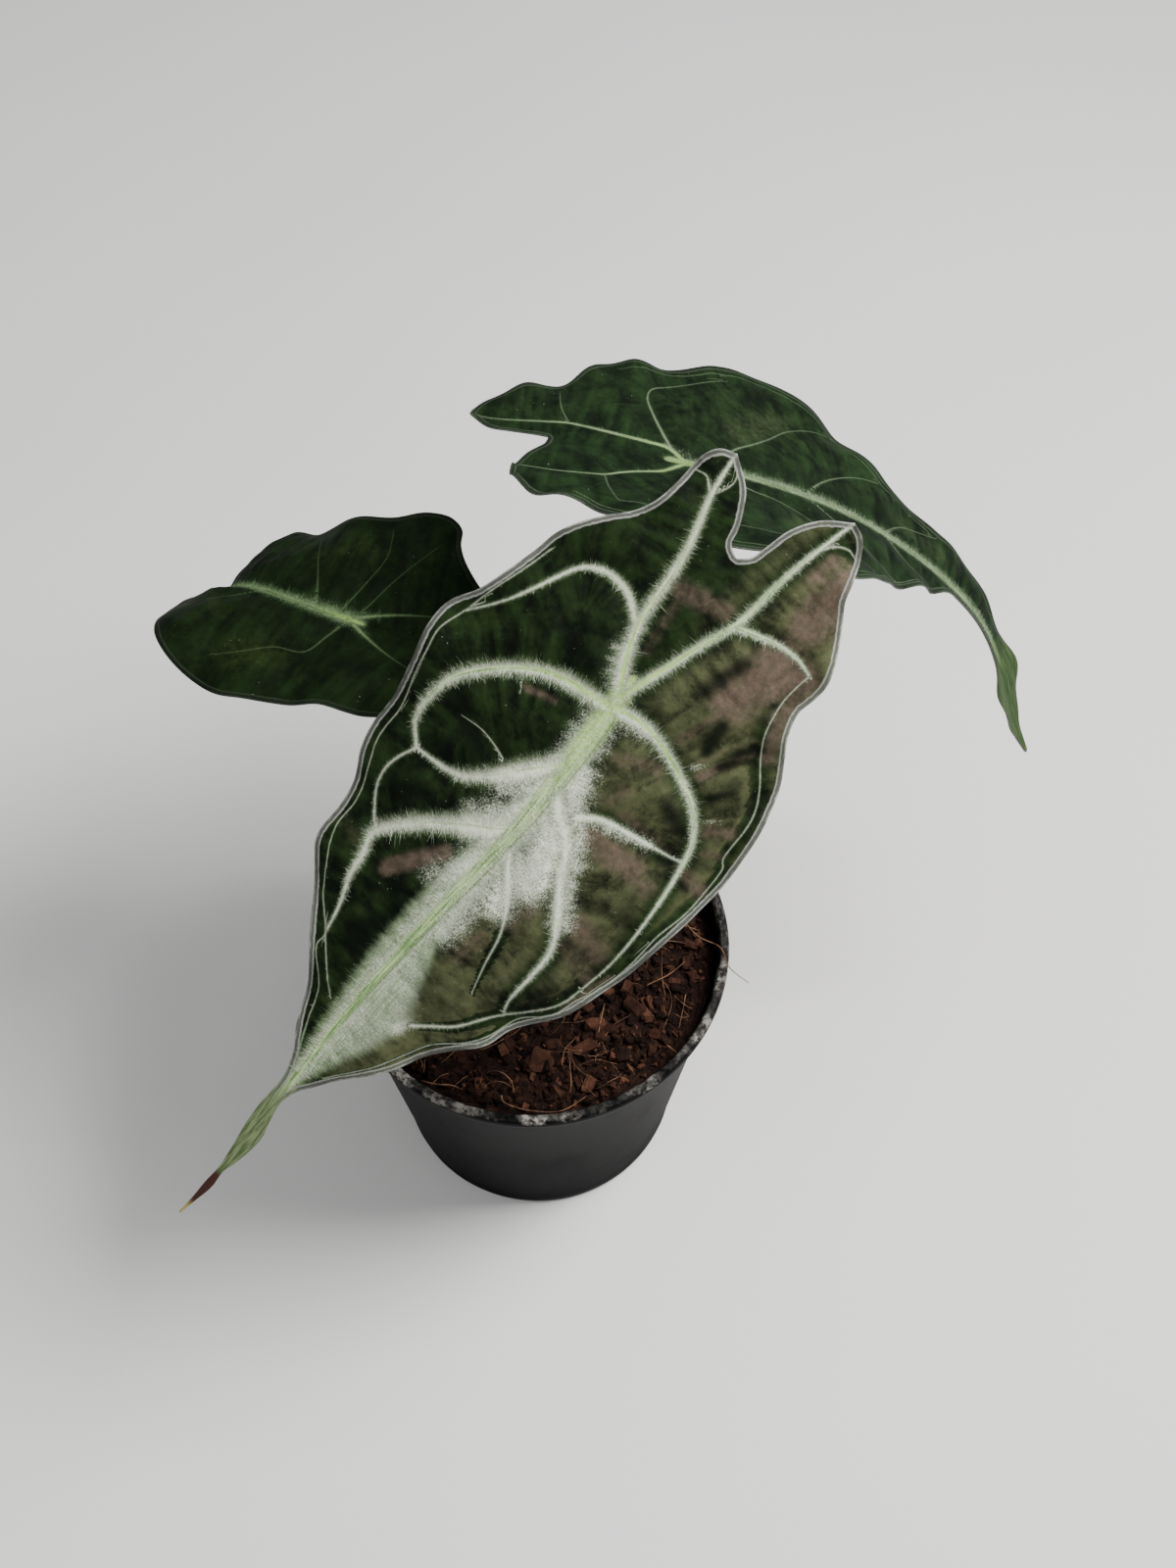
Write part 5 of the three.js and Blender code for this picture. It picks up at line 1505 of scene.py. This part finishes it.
    # grey rim with two light edges, and the worn tail and tip
    edge = look.plus(rim, look.lean(mottle, 0.6))
    innerLine = look.times(look.rise(edge, 0.85, 1.1), look.fall(edge, 1.2, 1.5), 0.7)
    lines = look.plus(look.times(look.fall(edge, 0.15, 0.45), look.rise(cloud, 0.35, 0.6)), innerLine)
    rimTone = look.mix(look.plus(lines, look.lean(speckle, 0.8)), *tone["rim"])
    base = look.mix(look.times(look.fall(edge, 1.15, 1.55), 0.7), base, rimTone)
    tail = look.rise(look.plus(along, look.lean(streaks, 14.0)), leaf["tailStart"], leaf["tailStart"] + 14)
    base = look.mix(tail, base, look.mix(look.rise(streaks, 0.4, 0.62), *tone["tail"]))
    tipEnd = look.rise(along, leaf["deadTip"] + 12.5, leaf["deadTip"] + 17)
    tip = look.rise(look.plus(along, look.lean(streaks, 3.0)), leaf["deadTip"], leaf["deadTip"] + 2)
    base = look.mix(tip, base, look.mix(tipEnd, *tone["tip"]))

    pale = look.calc("MAXIMUM", fringe, silverShare)
    bumps = look.plus(look.times(speckle, 0.5), look.times(strokes, pale, 1.2), look.times(mottle, 0.8))
    return look.done(base, look.mixNumber(pale, 0.6, 0.85), look.bump(bumps, 0.00022, 0.7), 0.05)


def leafUnder(leaf):
    look = Finish(leaf["name"] + " matt under face")
    flat = look.attribute("flatPlace")
    near = veinReading(look)[0]
    fringeWidth = look.parts(look.attribute("veinSize"))[0]
    cloud = look.noise(flat, 0.11, 4, 0.6)
    fine = look.noise(flat, 2.0, 3, 0.6)
    width = look.plus(look.times(fringeWidth, 0.22), 0.25)
    vein = look.fall(look.plus(near, look.times(fine, 0.2)), width, look.plus(width, 0.6))
    net = look.add("ShaderNodeTexVoronoi", {"Vector": flat, "Scale": 0.32}, feature="DISTANCE_TO_EDGE")
    cells = look.times(look.fall(net.outputs[0], 0.02, 0.09), 0.3)
    base = look.mix(look.rise(cloud, 0.35, 0.7), (74, 92, 66), (108, 122, 90))
    base = look.mix(look.times(look.rise(fine, 0.4, 0.75), 0.25), base, (92, 74, 78))
    base = look.mix(cells, base, (140, 156, 112))
    base = look.mix(vein, base, (164, 178, 126))
    height = look.plus(look.times(fine, 0.4), vein, cells)
    return look.done(base, 0.66, look.bump(height, 0.0003, 0.5), 0.35)


def leafEdge(leaf):
    look = Finish(leaf["name"] + " thin clear edge")
    fine = look.noise(look.objectPlace(), 1500, 3, 0.6)
    base = look.mix(look.rise(fine, 0.35, 0.65), *leaf["tone"]["rim"])
    return look.done(base, 0.5, look.bump(fine, 0.0001, 0.3))


leaves = {"front": frontLeaf, "back": backLeaf, "left": leftLeaf}
for eachLeaf in leaves.values():
    makeLeaf(eachLeaf)
    print(eachLeaf["name"], "made")


# Stalks and crown: pale green, mottled with reddish brown

stalkShape = {"baseRadius": 2.9, "topRadius": 1.9, "flare": 0.5, "sides": 28, "steps": 72, "endDepth": 0.95}
stalkRoutes = {
    "front": [(6.6, 5.9, 80), (7, 7, 100), (10, 14, 130), (15, 20, 163), (20, 15, 188), (21.9, 6.7, 198.1)],
    "back": [(9.9, 11.6, 80), (10.5, 13, 100), (15, 23, 128), (23, 40, 160), (31, 56, 186), (36, 65, 198.5)],
    "left": [
        (2.1, 11.6, 80), (1, 12.5, 100), (-6, 18, 122), (-20, 29, 140), (-34, 41, 151), (-42.5, 47.5, 159),
    ],
}


def stemFinish():
    look = Finish("pale mottled stem")
    place = look.objectPlace()
    z = look.parts(place)[2]
    long = look.noise(look.stretch(place, (1, 1, 0.18)), 900, 3, 0.6)
    bars = look.noise(look.stretch(place, (0.5, 0.5, 1.6)), 340, 4, 0.62, 0.4)
    cloud = look.noise(place, 60, 3, 0.5)
    base = look.mix(look.rise(cloud, 0.35, 0.65), (124, 140, 88), (162, 172, 118))
    base = look.mix(look.times(look.rise(bars, 0.5, 0.62), 0.6), base, (98, 66, 54))
    base = look.mix(look.times(look.rise(long, 0.5, 0.75), 0.3), base, (196, 202, 156))
    base = look.mix(look.times(look.fall(z, 0.088, 0.112), 0.6), base, (120, 92, 66))
    return look.done(base, 0.5, look.bump(look.plus(long, look.times(bars, 0.3)), 0.0002, 0.5), 0.45)


def routePoints(points, steps):
    # even steps along a smooth line through the points
    t = np.linspace(0, len(points) - 1, steps * 4)
    fine = smoothPath(points, t)
    lengths = np.concatenate([[0], np.cumsum(np.linalg.norm(np.diff(fine, axis=0), axis=1))])
    wanted = np.linspace(0, lengths[-1], steps)
    return np.stack([np.interp(wanted, lengths, fine[:, k]) for k in range(3)], 1)


def makeStalks(material):
    shape = stalkShape
    share = np.linspace(0, 1, shape["steps"])
    radii = shape["baseRadius"] + (shape["topRadius"] - shape["baseRadius"]) * share**0.8
    radii = radii + shape["flare"] * np.exp(-(((share - 1) / 0.03) ** 2))
    for key, leaf in leaves.items():
        seat = Blade(leaf).place(np.zeros((1, 2)), np.array([-shape["endDepth"]]))[0]
        points = routePoints(stalkRoutes[key] + [tuple(seat)], shape["steps"])
        bm = bmesh.new()
        addTube(bm, [Vector(point) * mm for point in points], radii * mm, shape["sides"])
        bmesh.ops.recalc_face_normals(bm, faces=bm.faces)
        newPiece("stalk_" + key + "_skin", bm, [material], "stem", "stalk_" + key)


def makeCrown(material):
    # a rounded short stem, wrapped by the split feet of the stalks
    x0, y0 = crownShape["place"]
    radius, bottom, top = crownShape["radius"], crownShape["bottom"], crownShape["top"]
    profile = [
        (0, bottom),
        (radius * 0.8, bottom),
        (radius * 0.95, bottom + 8),
        (radius, bottom + 20),
        (radius * 0.99, top - 14),
        (radius * 0.95, top - 9),
        (radius * 0.86, top - 5),
        (radius * 0.72, top - 2.6),
        (radius * 0.5, top - 1.1),
        (radius * 0.25, top - 0.3),
        (0, top),
    ]
    bm = bmesh.new()
    spinProfile(bm, profile, crownShape["sides"], cuts=3)
    for vertex in bm.verts:
        angle = math.atan2(vertex.co.y, vertex.co.x)
        climb = vertex.co.z / mm - bottom
        wraps = abs(math.sin(1.5 * angle + 0.05 * climb)) ** 0.5
        folds = wraps + 0.12 * math.sin(9 * angle + 0.26 * climb)
        inward = 1 - 0.12 * (1.12 - folds)
        vertex.co.x = vertex.co.x * inward + x0 * mm
        vertex.co.y = vertex.co.y * inward + y0 * mm
    bmesh.ops.recalc_face_normals(bm, faces=bm.faces)
    newPiece("crown_sheath", bm, [material], "stem", "crown")


stem = stemFinish()
makeStalks(stem)
makeCrown(stem)
print("stalks and crown made")


# Floor and light

studio = {
    "floor": ((226, 224, 220), (231, 229, 226)),
    "floorSize": 2.5,
    "sky": 0.42,
    "skyTint": (0.93, 0.96, 1.0, 1.0),
    "aim": (0.0, 0.02, 0.14),
    "lamps": [("key light", 13.0, 0.36, (0.42, 0.05, 0.78)), ("fill light", 2.5, 0.8, (-0.6, -0.5, 0.7))],
}


def makeStudio():
    look = Finish("pale floor")
    tone = look.mix(look.rise(look.noise(look.objectPlace(), 3, 3), 0.3, 0.7), *studio["floor"])
    bm = bmesh.new()
    bmesh.ops.create_grid(bm, x_segments=1, y_segments=1, size=studio["floorSize"])
    mesh = bpy.data.meshes.new("floor")
    bm.to_mesh(mesh)
    bm.free()
    mesh.materials.append(look.done(tone, 0.85))
    floor = linkedObject("floor", mesh)

    world = bpy.data.worlds.new("soft sky")
    bpy.context.scene.world = world
    world.use_nodes = True
    sky = world.node_tree.nodes["Background"]
    sky.inputs["Color"].default_value = studio["skyTint"]
    sky.inputs["Strength"].default_value = studio["sky"]
    for name, power, size, spot in studio["lamps"]:
        data = bpy.data.lights.new(name, "AREA")
        data.energy = power
        data.size = size
        lamp = linkedObject(name, data)
        lamp.location = spot
        aim = Vector(studio["aim"]) - lamp.location
        lamp.rotation_euler = aim.to_track_quat("-Z", "Y").to_euler()


makeStudio()
print("studio made")
